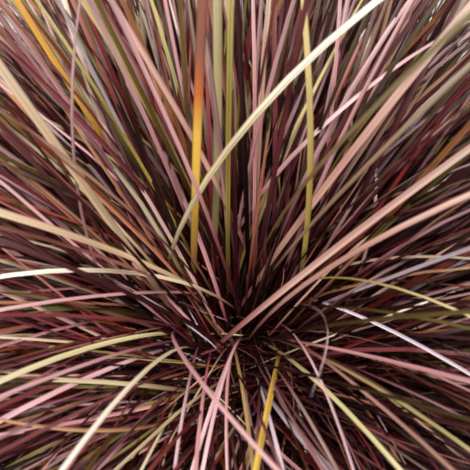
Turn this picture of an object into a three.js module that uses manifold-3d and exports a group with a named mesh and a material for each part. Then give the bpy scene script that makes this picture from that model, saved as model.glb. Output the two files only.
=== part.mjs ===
// A bronze carex sedge: a tussock of narrow arching leaves in a plain round nursery pot.
// Millimetres, +Z up. The origin is the middle of the pot's flat underside, on the surface it stands on.

import * as THREE from "three";
import { mergeVertices } from "three/addons/utils/BufferGeometryUtils.js";
import Module from "manifold-3d";

const wasm = await Module();
wasm.setup();

// ---- Driving dimensions -------------------------------------------------------------------------

// Pot: thin moulded wall, a turned-down lip, and drain holes round the middle of the floor.
const POT_HEIGHT = 165;
const POT_FOOT_RADIUS = 66;
const POT_TOP_RADIUS = 90; // outside of the wall, level with the top
const POT_WALL = 2.6;
const POT_FLOOR = 4;
const LIP_DEPTH = 13;
const LIP_PROUD = 4.5; // how far the lip stands out from the wall
const LIP_EDGE = 1.5; // size of the lip's eased edges
const DRAIN_HOLES = 5;
const DRAIN_RADIUS = 6;
const DRAIN_CIRCLE = 42; // radius of the circle of drain holes
const DRAIN_SIDES = 16;
const POT_SIDES = 40;

// Soil: fills the pot to a little below the lip and holds the root crown.
const SOIL_LEVEL = 148;
const SOIL_DISH = 3; // the soil is this much lower against the wall
const FIT_GAP = 0.3; // clearance between pieces that touch

// Root crown: the dense knot of roots and old sheaths that the shoots stand in.
const CROWN_RADIUS = 51;
const CROWN_FOOT_RADIUS = 43;
const CROWN_DEPTH = 36; // from the level of the leaf roots down to its underside
const ROOT_LEVEL = 160; // height at which the leaves leave their shoots
const CROWN_DROP = 3; // the crown's flat top lies this much under the leaf roots
const CROWN_SHOULDER = 6;

// Shoots: short stubs of rolled sheaths, spaced like seeds in a sunflower.
const SHOOTS = 52;
const TUFT_RADIUS = 42; // radius of the ring that the outermost shoots stand in
const GOLDEN_ANGLE = Math.PI * (3 - Math.sqrt(5));
const SHOOT_SIDES = 6;
const SHOOT_FOOT_RADIUS = 2.6;
const SHOOT_TOP_RADIUS = 2.2;
const SHOOT_SUNK = 15; // how deep a shoot stands under the leaf roots
const SHOOT_PROUD = 3; // how far it stands above them

// Leaves: keeled blades on an arc, six or so to a shoot, folded narrow where they leave it.
const LEAVES_PER_SHOOT = 6;
const LEAF_STEPS = 4; // straight pieces along each arc
const LEAF_OFFSET = 2; // from the shoot's middle to where a leaf leaves it
const LEAF_ROOT = 1.8; // length of leaf inside the shoot
const LEAF_SPACING = 2.8; // least distance between the midlines of two shoots' leaves
const SISTER_SPACING = 1.8; // the same for two leaves of one shoot, past the foot that they share
const SHARED_FOOT = 12;
const STUB_SPACING = 3.3; // least distance from a leaf's midline to another shoot's middle
const KEEL_SHARE = 0.36; // keel depth as a share of the leaf's width
const LEAST_KEEL = 0.7;
const WIDTH_ALONG = [0.5, 1, 0.95, 0.68, 0]; // leaf width at each step, as a share of its widest

// The space that leaves keep out of: the pot's lip, the surface below, and an open parting in front.
const TABLE_CLEARANCE = 12;
const LIP_CLEARANCE = 3; // above the lip and above the soil
const LIP_MARGIN = 5; // how far to each side of the lip that clearance reaches
const PARTING_CENTRE = [-1, -47, 335];
const PARTING_RADIUS = 60;
const REACH = 325; // furthest that a leaf tip gets from the middle of the tuft

// Skirt: older leaves of the outer shoots, which arch low over the pot's lip.
const SKIRT_FROM = 18; // the first shoot that has them
const SKIRT_PER_SHOOT = 3;
const SKIRT_STRAY = 50; // furthest that one turns from straight out, in degrees

const SEED = 3;
const TRIES = 60; // draws for each leaf of the fill before its shoot goes without it

// Leaf colours.
const TONES = {
  wine: 0x552a2c,
  rose: 0x9a5f5c,
  bronze: 0x74523a,
  russet: 0x8c452f,
  peach: 0xb98a6c,
  tan: 0xa58a5e,
  olive: 0x7f7d42,
  straw: 0xcdbf94,
  amber: 0xc88a24,
};
const COMMON_TONES = ["wine", "rose", "bronze", "wine", "russet", "olive", "rose", "peach"];

// The leaves that lead the eye: shoot number, then the way the leaf sets out (azimuth and lean from the
// vertical), how far it sways and droops from there to its tip, all in degrees, and its length and width.
const LEADING_LEAVES = [
  { tone: "amber", shoot: 17, azimuth: 64, lean: 9, sway: 15, droop: 30, length: 310, width: 2.6 },
  { tone: "olive", shoot: 9, azimuth: 62, lean: 13, sway: 35, droop: 25, length: 300, width: 2.6 },
  { tone: "straw", shoot: 51, azimuth: 40, lean: 5, sway: -20, droop: 75, length: 320, width: 2.6 },
  { tone: "olive", shoot: 21, azimuth: 55, lean: 5, sway: 55, droop: 50, length: 280, width: 2.5 },
  { tone: "olive", shoot: 16, azimuth: 60, lean: 18, sway: 55, droop: 75, length: 280, width: 2.3 },
  { tone: "rose", shoot: 33, azimuth: 19, lean: 31, sway: 10, droop: 45, length: 300, width: 2.3 },
  { tone: "peach", shoot: 2, azimuth: 9, lean: 8, sway: -10, droop: 65, length: 310, width: 2.5 },
  { tone: "peach", shoot: 1, azimuth: 29, lean: 20, sway: 5, droop: 35, length: 310, width: 2.4 },
  { tone: "tan", shoot: 11, azimuth: -32, lean: 10, sway: 10, droop: 15, length: 300, width: 2.4 },
  { tone: "russet", shoot: 29, azimuth: 39, lean: 40, sway: 10, droop: 45, length: 300, width: 2.3 },
  { tone: "rose", shoot: 14, azimuth: 54, lean: 6, sway: -30, droop: 75, length: 240, width: 2.3 },
  { tone: "tan", shoot: 12, azimuth: 150, lean: 14, sway: -15, droop: 30, length: 310, width: 2.5 },
  { tone: "peach", shoot: 9, azimuth: 156, lean: 20, sway: -60, droop: 40, length: 270, width: 2.4 },
  { tone: "tan", shoot: 14, azimuth: 156, lean: 20, sway: -30, droop: 30, length: 300, width: 2.4 },
  { tone: "rose", shoot: 27, azimuth: 134, lean: 42, sway: -20, droop: 50, length: 290, width: 2.2 },
  { tone: "rose", shoot: 11, azimuth: 139, lean: 19, sway: -5, droop: 35, length: 310, width: 2.3 },
  { tone: "peach", shoot: 16, azimuth: 149, lean: 13, sway: 5, droop: 30, length: 300, width: 2.5 },
  { tone: "olive", shoot: 6, azimuth: 124, lean: 6, sway: 15, droop: 70, length: 340, width: 2.4 },
  { tone: "bronze", shoot: 9, azimuth: 129, lean: 21, sway: -45, droop: 60, length: 280, width: 2.3 },
  { tone: "tan", shoot: 43, azimuth: 91, lean: 40, sway: -10, droop: 50, length: 300, width: 2.4 },
  { tone: "straw", shoot: 35, azimuth: -153, lean: 21, sway: 5, droop: 75, length: 260, width: 2.3 },
  { tone: "peach", shoot: 6, azimuth: -154, lean: 17, sway: -10, droop: 40, length: 300, width: 2.4 },
  { tone: "rose", shoot: 1, azimuth: -166, lean: 41, sway: -40, droop: 30, length: 280, width: 2.3 },
  { tone: "rose", shoot: 27, azimuth: -149, lean: 47, sway: -25, droop: 30, length: 300, width: 2.3 },
  { tone: "bronze", shoot: 12, azimuth: -165, lean: 33, sway: -50, droop: 35, length: 270, width: 2.4 },
  { tone: "olive", shoot: 4, azimuth: -150, lean: 20, sway: 10, droop: 85, length: 260, width: 2.3 },
  { tone: "straw", shoot: 17, azimuth: -147, lean: 49, sway: 15, droop: 60, length: 290, width: 2.3 },
  { tone: "rose", shoot: 4, azimuth: -139, lean: 29, sway: 0, droop: 70, length: 270, width: 2.3 },
  { tone: "straw", shoot: 12, azimuth: -109, lean: 6, sway: 0, droop: 80, length: 270, width: 2.5 },
  { tone: "amber", shoot: 21, azimuth: -108, lean: 43, sway: 5, droop: 50, length: 300, width: 2.4 },
  { tone: "olive", shoot: 0, azimuth: -54, lean: 27, sway: -10, droop: 75, length: 260, width: 2.4 },
  { tone: "straw", shoot: 50, azimuth: -29, lean: 72, sway: -5, droop: 60, length: 290, width: 2.2 },
  { tone: "straw", shoot: 10, azimuth: -81, lean: 31, sway: 50, droop: 35, length: 270, width: 2.5 },
  { tone: "straw", shoot: 10, azimuth: -77, lean: 61, sway: -5, droop: 50, length: 300, width: 2.3 },
  { tone: "rose", shoot: 4, azimuth: -99, lean: 62, sway: 30, droop: 50, length: 250, width: 2.2 },
  { tone: "rose", shoot: 0, azimuth: -106, lean: 19, sway: 0, droop: 100, length: 200, width: 2.2 },
  { tone: "rose", shoot: 4, azimuth: -108, lean: 59, sway: 40, droop: 60, length: 270, width: 2.2 },
  { tone: "olive", shoot: 25, azimuth: -101, lean: 70, sway: -45, droop: 30, length: 220, width: 2.2 },
  { tone: "tan", shoot: 24, azimuth: -5, lean: 35, sway: -15, droop: 75, length: 270, width: 2.3 },
];

// ---- Meshes and solids --------------------------------------------------------------------------

// A closed three.js geometry as a solid that can be joined and cut.
function solidOf(geometry) {
  const bare = geometry.clone();
  bare.deleteAttribute("normal");
  bare.deleteAttribute("uv");
  const merged = mergeVertices(bare, 1e-4);
  return new wasm.Manifold(
    new wasm.Mesh({
      numProp: 3,
      vertProperties: merged.attributes.position.array,
      triVerts: new Uint32Array(merged.index.array),
    }),
  );
}

function geometryOf(solid) {
  const mesh = solid.getMesh();
  const geometry = new THREE.BufferGeometry();
  geometry.setAttribute("position", new THREE.BufferAttribute(mesh.vertProperties, mesh.numProp));
  geometry.setIndex(new THREE.BufferAttribute(mesh.triVerts, 1));
  geometry.computeVertexNormals();
  return geometry;
}

// A solid of revolution about the vertical axis, from [radius, height] points that run upwards outside.
function turned(points, sides) {
  const profile = points.map(([radius, height]) => new THREE.Vector2(radius, height));
  return new THREE.LatheGeometry(profile, sides).rotateX(Math.PI / 2);
}

// An upright prism or frustum that stands on the height `foot`.
function post(footRadius, topRadius, foot, top, sides) {
  return new THREE.CylinderGeometry(topRadius, footRadius, top - foot, sides)
    .rotateX(Math.PI / 2)
    .translate(0, 0, (foot + top) / 2);
}

function namedMesh(name, geometry, color, roughness) {
  const mesh = new THREE.Mesh(
    geometry,
    new THREE.MeshStandardMaterial({ color, roughness, metalness: 0, flatShading: true }),
  );
  mesh.name = name;
  return mesh;
}

// ---- Pot, soil and root crown -------------------------------------------------------------------

const POT_TAPER = (POT_TOP_RADIUS - POT_FOOT_RADIUS) / POT_HEIGHT;
const crownTop = ROOT_LEVEL - CROWN_DROP;
const crownFoot = ROOT_LEVEL - CROWN_DEPTH;
const crownWaist = crownFoot + (CROWN_RADIUS - CROWN_FOOT_RADIUS);

function potWallRadius(height) {
  return POT_FOOT_RADIUS + POT_TAPER * height;
}

function makePot() {
  const lipFoot = POT_HEIGHT - LIP_DEPTH;
  const lipRadius = POT_TOP_RADIUS + LIP_PROUD;
  const inside = (height) => potWallRadius(height) - POT_WALL;
  const shell = turned(
    [
      [0, 0],
      [POT_FOOT_RADIUS, 0],
      [potWallRadius(lipFoot), lipFoot],
      [lipRadius - LIP_EDGE, lipFoot],
      [lipRadius, lipFoot + LIP_EDGE],
      [lipRadius, POT_HEIGHT - LIP_EDGE],
      [lipRadius - LIP_EDGE, POT_HEIGHT],
      [inside(POT_HEIGHT) + LIP_EDGE, POT_HEIGHT],
      [inside(POT_HEIGHT), POT_HEIGHT - LIP_EDGE],
      [inside(POT_FLOOR), POT_FLOOR],
      [0, POT_FLOOR],
    ],
    POT_SIDES,
  );
  let pot = solidOf(shell);
  for (let i = 0; i < DRAIN_HOLES; i++) {
    const turn = (i * 2 * Math.PI) / DRAIN_HOLES;
    const drill = post(DRAIN_RADIUS, DRAIN_RADIUS, -1, POT_FLOOR + 1, DRAIN_SIDES);
    drill.translate(DRAIN_CIRCLE * Math.cos(turn), DRAIN_CIRCLE * Math.sin(turn), 0);
    pot = pot.subtract(solidOf(drill));
  }
  return geometryOf(pot);
}

function makeSoil() {
  const foot = POT_FLOOR + FIT_GAP;
  const edge = SOIL_LEVEL - SOIL_DISH;
  const outside = (height) => potWallRadius(height) - POT_WALL - FIT_GAP;
  return turned(
    [
      [0, foot],
      [outside(foot), foot],
      [outside(edge), edge],
      [CROWN_RADIUS + FIT_GAP, SOIL_LEVEL],
      [CROWN_RADIUS + FIT_GAP, crownWaist - FIT_GAP],
      [CROWN_FOOT_RADIUS + FIT_GAP, crownFoot - FIT_GAP],
      [0, crownFoot - FIT_GAP],
    ],
    POT_SIDES,
  );
}

function makeRootCrown(places) {
  let crown = solidOf(
    turned(
      [
        [0, crownFoot],
        [CROWN_FOOT_RADIUS, crownFoot],
        [CROWN_RADIUS, crownWaist],
        [CROWN_RADIUS, crownTop - CROWN_SHOULDER],
        [CROWN_RADIUS - CROWN_SHOULDER / 2, crownTop - CROWN_SHOULDER / 3],
        [CROWN_RADIUS - CROWN_SHOULDER, crownTop],
        [0, crownTop],
      ],
      POT_SIDES,
    ),
  );
  const socketFoot = ROOT_LEVEL - SHOOT_SUNK - FIT_GAP;
  const socketRadius = SHOOT_FOOT_RADIUS + FIT_GAP / Math.cos(Math.PI / SHOOT_SIDES);
  for (const place of places) {
    const socket = post(socketRadius, socketRadius, socketFoot, crownTop + 1, SHOOT_SIDES);
    crown = crown.subtract(solidOf(socket.translate(place.x, place.y, 0)));
  }
  return geometryOf(crown);
}

// ---- Leaves -------------------------------------------------------------------------------------

// Park and Miller's seeded draw, so that the plant always grows the same.
let drawState = SEED;
function draw(low, high) {
  drawState = (drawState * 16807) % 2147483647;
  return low + (high - low) * (drawState / 2147483647);
}

// Where shoot number i stands: each a golden angle further round and a little further out.
function shootPlace(i) {
  const radius = TUFT_RADIUS * Math.sqrt((i + 0.5) / SHOOTS);
  const turn = i * GOLDEN_ANGLE;
  return new THREE.Vector3(radius * Math.cos(turn), radius * Math.sin(turn), ROOT_LEVEL);
}

function wayOf(azimuth, lean) {
  const a = THREE.MathUtils.degToRad(azimuth);
  const l = THREE.MathUtils.degToRad(lean);
  return new THREE.Vector3(Math.sin(l) * Math.cos(a), Math.sin(l) * Math.sin(a), Math.cos(l));
}

// A leaf's midline: one quadratic arc that sets out one way and ends in another.
function arcOf(place, leaf) {
  const turn = THREE.MathUtils.degToRad(leaf.azimuth);
  const root = place.clone().add(
    new THREE.Vector3(LEAF_OFFSET * Math.cos(turn), LEAF_OFFSET * Math.sin(turn), 0),
  );
  const half = leaf.length / 2;
  const bow = wayOf(leaf.azimuth, leaf.lean).multiplyScalar(half).add(root);
  const tip = wayOf(leaf.azimuth + leaf.sway, leaf.lean + leaf.droop).multiplyScalar(half).add(bow);
  return new THREE.QuadraticBezierCurve3(root, bow, tip);
}

// The least distance between two straight pieces.
function pieceDistance(a, b, c, d) {
  const along = b.clone().sub(a);
  const other = d.clone().sub(c);
  const between = a.clone().sub(c);
  const aa = along.dot(along);
  const bb = along.dot(other);
  const cc = other.dot(other);
  const dd = along.dot(between);
  const ee = other.dot(between);
  const det = aa * cc - bb * bb;
  const clamp = (value) => Math.min(Math.max(value, 0), 1);
  let s = det > 1e-9 ? clamp((bb * ee - cc * dd) / det) : 0;
  const t = clamp((bb * s + ee) / cc);
  s = clamp((bb * t - dd) / aa);
  return between.addScaledVector(along, s).addScaledVector(other, -t).length();
}

function chainDistance(one, two, enough) {
  let least = Infinity;
  for (let i = 1; i < one.length; i++) {
    for (let j = 1; j < two.length; j++) {
      least = Math.min(least, pieceDistance(one[i - 1], one[i], two[j - 1], two[j]));
      if (least < enough) return least;
    }
  }
  return least;
}

// The chain without its first stretch, which sister leaves share.
function pastFoot(chain) {
  const foot = chain[0].distanceTo(chain[1]);
  return [chain[0].clone().lerp(chain[1], SHARED_FOOT / foot), ...chain.slice(1)];
}

// True where a leaf's midline keeps off the surface below, the crown, the pot's lip and the parting.
const CHECK_POINTS = 24;
const lipInside = POT_TOP_RADIUS - POT_WALL - LIP_MARGIN;
const lipOutside = POT_TOP_RADIUS + LIP_PROUD + LIP_MARGIN;
const parting = new THREE.Vector3(...PARTING_CENTRE);
const heart = new THREE.Vector3(0, 0, ROOT_LEVEL);
function keepsClear(arc) {
  for (const point of arc.getPoints(CHECK_POINTS)) {
    const radius = Math.hypot(point.x, point.y);
    let floor = TABLE_CLEARANCE;
    if (radius < CROWN_RADIUS) floor = crownTop + CROWN_DROP / 2;
    else if (radius < lipInside) floor = SOIL_LEVEL + LIP_CLEARANCE;
    else if (radius < lipOutside) floor = POT_HEIGHT + LIP_CLEARANCE;
    if (point.z < floor) return false;
    if (point.distanceTo(parting) < PARTING_RADIUS) return false;
    if (point.distanceTo(heart) > REACH) return false;
  }
  return true;
}

// A leaf of the fill, its angles in degrees: the further out its shoot stands, the less it strays from
// straight out, the more it leans and the more it droops. The draws are always made in this order.
const INNER_STRAY = 150;
const OUTER_STRAY = 55;
const OUTER_LEAN = 42;
const OUTER_DROOP = 24;
function drawLeaf(place) {
  const outward = Math.hypot(place.x, place.y) / TUFT_RADIUS;
  const facing = THREE.MathUtils.radToDeg(Math.atan2(place.y, place.x));
  const stray = INNER_STRAY + (OUTER_STRAY - INNER_STRAY) * outward;
  return {
    azimuth: facing + draw(-stray, stray),
    lean: draw(4, 30) + OUTER_LEAN * outward * outward,
    sway: draw(-24, 24),
    droop: draw(22, 74) + OUTER_DROOP * outward,
    length: draw(225, 335),
    width: draw(1.8, 2.5),
  };
}

// A leaf of the skirt, drawn in the same order.
function drawSkirtLeaf(place) {
  const facing = THREE.MathUtils.radToDeg(Math.atan2(place.y, place.x));
  return {
    azimuth: facing + draw(-SKIRT_STRAY, SKIRT_STRAY),
    lean: draw(56, 80),
    sway: draw(-24, 24),
    droop: draw(30, 95),
    length: draw(200, 330),
    width: draw(1.8, 2.3),
  };
}

// All shoots with their leaves: the leading ones first, then as many of the fill and the skirt as find room.
function growTuft() {
  const shoots = Array.from({ length: SHOOTS }, (_, i) => ({ place: shootPlace(i), leaves: [] }));
  const stubs = shoots.map(({ place }) => [
    place.clone().setZ(crownTop),
    place.clone().setZ(ROOT_LEVEL + SHOOT_PROUD),
  ]);
  const apart = (one, two, spacing) => chainDistance(one, two, spacing) >= spacing;
  const hasRoom = (index, chain) =>
    shoots.every((shoot, other) =>
      other === index
        ? shoot.leaves.every((l) => apart(pastFoot(chain), pastFoot(l.chain), SISTER_SPACING))
        : apart(chain.slice(0, 3), stubs[other], STUB_SPACING) &&
          shoot.leaves.every((l) => apart(chain, l.chain, LEAF_SPACING)),
    );
  const grow = (index, leaf) => {
    const arc = arcOf(shoots[index].place, leaf);
    const chain = arc.getPoints(LEAF_STEPS);
    if (!keepsClear(arc) || !hasRoom(index, chain)) return false;
    shoots[index].leaves.push({ ...leaf, arc, chain });
    return true;
  };
  for (const leaf of LEADING_LEAVES) {
    if (!grow(leaf.shoot, leaf)) throw new Error(`shoot ${leaf.shoot} has no room for a leading leaf`);
  }
  const growOne = (index, drawOne) => {
    for (let attempt = 0; attempt < TRIES; attempt++) {
      if (grow(index, drawOne(shoots[index].place))) return;
    }
  };
  for (let round = 0; round < LEAVES_PER_SHOOT; round++) {
    for (let i = 0; i < SHOOTS; i++) {
      if (shoots[i].leaves.length <= round) growOne(i, drawLeaf);
    }
  }
  for (let round = 0; round < SKIRT_PER_SHOOT; round++) {
    for (let i = SKIRT_FROM; i < SHOOTS; i++) growOne(i, drawSkirtLeaf);
  }
  return shoots;
}

// A keeled blade along a chain of points: two edges and a keel under them, closed to a point at the tip.
function bladeGeometry(leaf) {
  const { chain, arc, width } = leaf;
  const side = arc.v1.clone().sub(arc.v0).cross(arc.v2.clone().sub(arc.v1)).normalize();
  const positions = [];
  const rootStep = chain[1].clone().sub(chain[0]).normalize();
  chain.forEach((point, i) => {
    if (i === LEAF_STEPS) {
      positions.push(point);
      return;
    }
    const ahead = chain[i + 1].clone().sub(chain[Math.max(i - 1, 0)]).normalize();
    const under = new THREE.Vector3().crossVectors(side, ahead);
    const half = (width * WIDTH_ALONG[i]) / 2;
    const keel = Math.max(width * WIDTH_ALONG[i] * KEEL_SHARE, LEAST_KEEL);
    const middle = i === 0 ? point.clone().addScaledVector(rootStep, -LEAF_ROOT) : point.clone();
    positions.push(middle.clone().addScaledVector(side, -half));
    positions.push(middle.clone().addScaledVector(side, half));
    positions.push(middle.clone().addScaledVector(under, keel));
  });
  const faces = [0, 1, 2];
  for (let i = 0; i < LEAF_STEPS; i++) {
    for (let k = 0; k < 3; k++) {
      const a = 3 * i + k;
      const b = 3 * i + ((k + 1) % 3);
      const last = i === LEAF_STEPS - 1;
      const c = last ? 3 * LEAF_STEPS : a + 3;
      faces.push(a, c, b);
      if (!last) faces.push(b, c, b + 3);
    }
  }
  const geometry = new THREE.BufferGeometry().setFromPoints(positions);
  geometry.setIndex(faces);
  return geometry;
}

// One shoot: its stub with its leaves joined on.
function makeShoot(shoot) {
  const foot = ROOT_LEVEL - SHOOT_SUNK;
  const stub = post(SHOOT_FOOT_RADIUS, SHOOT_TOP_RADIUS, foot, ROOT_LEVEL + SHOOT_PROUD, SHOOT_SIDES);
  let solid = solidOf(stub.translate(shoot.place.x, shoot.place.y, 0));
  for (const leaf of shoot.leaves) solid = solid.add(solidOf(bladeGeometry(leaf)));
  return geometryOf(solid);
}

// ---- The plant in its pot -----------------------------------------------------------------------

const sedge = new THREE.Group();
const shoots = growTuft();
sedge.add(namedMesh("pot", makePot(), 0x2b2928, 0.6));
sedge.add(namedMesh("soil", makeSoil(), 0x2a1d15, 1));
sedge.add(namedMesh("root_crown", makeRootCrown(shoots.map((s) => s.place)), 0x3a2620, 0.95));
shoots.forEach((shoot, i) => {
  const leading = shoot.leaves.find((leaf) => leaf.tone);
  const tone = leading ? leading.tone : COMMON_TONES[i % COMMON_TONES.length];
  const name = `shoot_${String(i + 1).padStart(2, "0")}`;
  sedge.add(namedMesh(name, makeShoot(shoot), TONES[tone], 0.55));
});

export default sedge;
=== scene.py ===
"""The looks of a potted bronze carex sedge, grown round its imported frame.

The frame holds 52 leafy shoots, the root crown they stand in, the soil and the pot. This script repeats
the rule that placed the shoots' leaves and grows each leaf again as a fine channelled blade, then adds the
thousands of thinner leaves, old leaves, sheaths and fibres that a real tussock has between them.
Sizes whose names end in _MM, and all growing rules, are in millimetres. Blender's settings are in metres.
"""

import math

import bpy
import numpy as np
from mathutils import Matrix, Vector, noise


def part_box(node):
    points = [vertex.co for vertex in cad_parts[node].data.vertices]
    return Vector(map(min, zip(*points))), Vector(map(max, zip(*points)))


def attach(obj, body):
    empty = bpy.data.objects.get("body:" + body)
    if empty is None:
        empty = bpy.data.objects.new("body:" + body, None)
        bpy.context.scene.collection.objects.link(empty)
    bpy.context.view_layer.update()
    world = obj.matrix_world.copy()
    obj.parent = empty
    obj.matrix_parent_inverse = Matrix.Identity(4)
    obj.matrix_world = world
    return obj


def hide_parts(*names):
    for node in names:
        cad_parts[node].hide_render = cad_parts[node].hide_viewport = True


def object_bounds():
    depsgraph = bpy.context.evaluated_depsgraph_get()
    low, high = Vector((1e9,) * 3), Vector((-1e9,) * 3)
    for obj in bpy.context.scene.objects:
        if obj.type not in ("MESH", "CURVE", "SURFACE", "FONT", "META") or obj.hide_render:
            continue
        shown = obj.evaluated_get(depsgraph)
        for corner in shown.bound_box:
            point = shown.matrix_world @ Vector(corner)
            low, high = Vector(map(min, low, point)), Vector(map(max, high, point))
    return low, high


bl_info = {
    "name": "Potted bronze carex sedge",
    "version": (1, 0, 0),
    "blender": (4, 5, 0),
    "location": "3D View > Sidebar > Sedge",
    "description": "Grows a bronze carex sedge in a nursery pot round its packed frame",
    "category": "Object",
}

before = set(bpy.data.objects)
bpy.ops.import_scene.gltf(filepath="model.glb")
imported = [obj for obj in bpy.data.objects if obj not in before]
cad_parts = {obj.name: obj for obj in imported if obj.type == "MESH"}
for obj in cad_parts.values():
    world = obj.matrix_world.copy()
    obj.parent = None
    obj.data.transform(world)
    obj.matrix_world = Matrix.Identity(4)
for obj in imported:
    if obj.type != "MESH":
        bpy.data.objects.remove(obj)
cad_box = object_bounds()

MM = 0.001

# ---- The frame's own sizes, in millimetres ----

POT_HEIGHT_MM = 165
POT_FOOT_RADIUS_MM = 66
POT_TOP_RADIUS_MM = 90
POT_WALL_MM = 2.6
POT_FLOOR_MM = 4
LIP_DEPTH_MM = 13
LIP_PROUD_MM = 4.5
DRAIN_HOLES = 5
DRAIN_RADIUS_MM = 6
DRAIN_CIRCLE_MM = 42
SOIL_LEVEL_MM = 148
SOIL_DISH_MM = 3
FIT_GAP_MM = 0.3
CROWN_RADIUS_MM = 51
CROWN_FOOT_RADIUS_MM = 43
CROWN_TOP_MM = 157
CROWN_FOOT_MM = 124
CROWN_SHOULDER_MM = 6
ROOT_LEVEL_MM = 160
SHOOTS = 52
TUFT_RADIUS_MM = 42
GOLDEN_ANGLE = math.pi * (3 - math.sqrt(5))
SHOOT_SUNK_MM = 15
SHOOT_PROUD_MM = 3
LEAVES_PER_SHOOT = 6
LEAF_STEPS = 4
LEAF_OFFSET_MM = 2
LEAF_SPACING_MM = 2.8
SISTER_SPACING_MM = 1.8
SHARED_FOOT_MM = 12
STUB_SPACING_MM = 3.3
TABLE_CLEARANCE_MM = 12
LIP_CLEARANCE_MM = 3
LIP_MARGIN_MM = 5
PARTING_CENTRE_MM = (-1, -47, 335)
PARTING_RADIUS_MM = 60
REACH_MM = 325
FRAME_SEED = 3
TRIES = 60
CHECK_POINTS = 24
INNER_STRAY = 150
OUTER_STRAY = 55
OUTER_LEAN = 42
OUTER_DROOP = 24
SKIRT_FROM = 18
SKIRT_PER_SHOOT = 3
SKIRT_STRAY = 50
# Between which ends the frame's rule draws, in this order, in degrees and millimetres.
FILL = dict(lean=(4, 30), sway=(-24, 24), droop=(22, 74), length=(225, 335), width=(1.8, 2.5))
SKIRT_FILL = dict(lean=(56, 80), sway=(-24, 24), droop=(30, 95), length=(200, 330), width=(1.8, 2.3))
LEAF_SHAPE = ("azimuth", "lean", "sway", "droop", "length", "width")
COMMON_TONES = ("wine", "rose", "bronze", "wine", "russet", "olive", "rose", "peach")

# The leaves that lead the eye: tone, shoot, azimuth, lean, sway, droop (degrees), length and width (mm).
LEADING_LEAVES = (
    ("flame", 17, 64, 9, 15, 30, 310, 2.6),
    ("khaki", 9, 62, 13, 35, 25, 300, 2.8),
    ("straw", 51, 40, 5, -20, 75, 320, 3.0),
    ("olive", 21, 55, 5, 55, 50, 280, 2.6),
    ("olive", 16, 60, 18, 55, 75, 280, 2.3),
    ("peach", 33, 19, 31, 10, 45, 300, 2.3),
    ("peach", 2, 9, 8, -10, 65, 310, 2.5),
    ("peach", 1, 29, 20, 5, 35, 310, 2.4),
    ("tan", 11, -32, 10, 10, 15, 300, 2.4),
    ("russet", 29, 39, 40, 10, 45, 300, 2.3),
    ("rose", 14, 54, 6, -30, 75, 240, 1.7),
    ("tan", 12, 150, 14, -15, 30, 310, 2.5),
    ("peach", 9, 156, 20, -60, 40, 270, 2.4),
    ("amber", 14, 156, 20, -30, 30, 300, 2.0),
    ("rose", 27, 134, 42, -20, 50, 290, 2.2),
    ("rose", 11, 139, 19, -5, 35, 310, 2.3),
    ("peach", 16, 149, 13, 5, 30, 300, 2.5),
    ("olive", 6, 124, 6, 15, 70, 340, 2.4),
    ("tan", 9, 129, 21, -45, 60, 280, 2.3),
    ("tan", 43, 91, 40, -10, 50, 300, 2.4),
    ("straw", 35, -153, 21, 5, 75, 260, 2.3),
    ("tan", 6, -154, 17, -10, 40, 300, 2.4),
    ("shell", 1, -166, 41, -40, 30, 280, 1.7),
    ("shell", 27, -149, 47, -25, 30, 300, 1.7),
    ("rose", 12, -165, 33, -50, 35, 270, 1.9),
    ("khaki", 4, -150, 20, 10, 85, 260, 1.7),
    ("peach", 17, -147, 49, 15, 60, 290, 1.8),
    ("shell", 4, -139, 29, 0, 70, 270, 1.5),
    ("straw", 12, -109, 6, 0, 80, 270, 1.6),
    ("gold", 21, -108, 43, 5, 50, 300, 2.2),
    ("khaki", 0, -54, 27, -10, 75, 260, 1.6),
    ("lilac", 50, -29, 72, -5, 60, 290, 2.2),
    ("lilac", 10, -81, 31, 50, 35, 270, 2.1),
    ("lilac", 10, -77, 61, -5, 50, 300, 2.3),
    ("shell", 4, -99, 62, 30, 50, 250, 1.7),
    ("shell", 0, -106, 19, 0, 100, 200, 1.2),
    ("shell", 4, -108, 59, 40, 60, 270, 1.7),
    ("khaki", 25, -101, 70, -45, 30, 220, 1.6),
    ("tan", 24, -5, 35, -15, 75, 270, 2.3),
)

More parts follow.
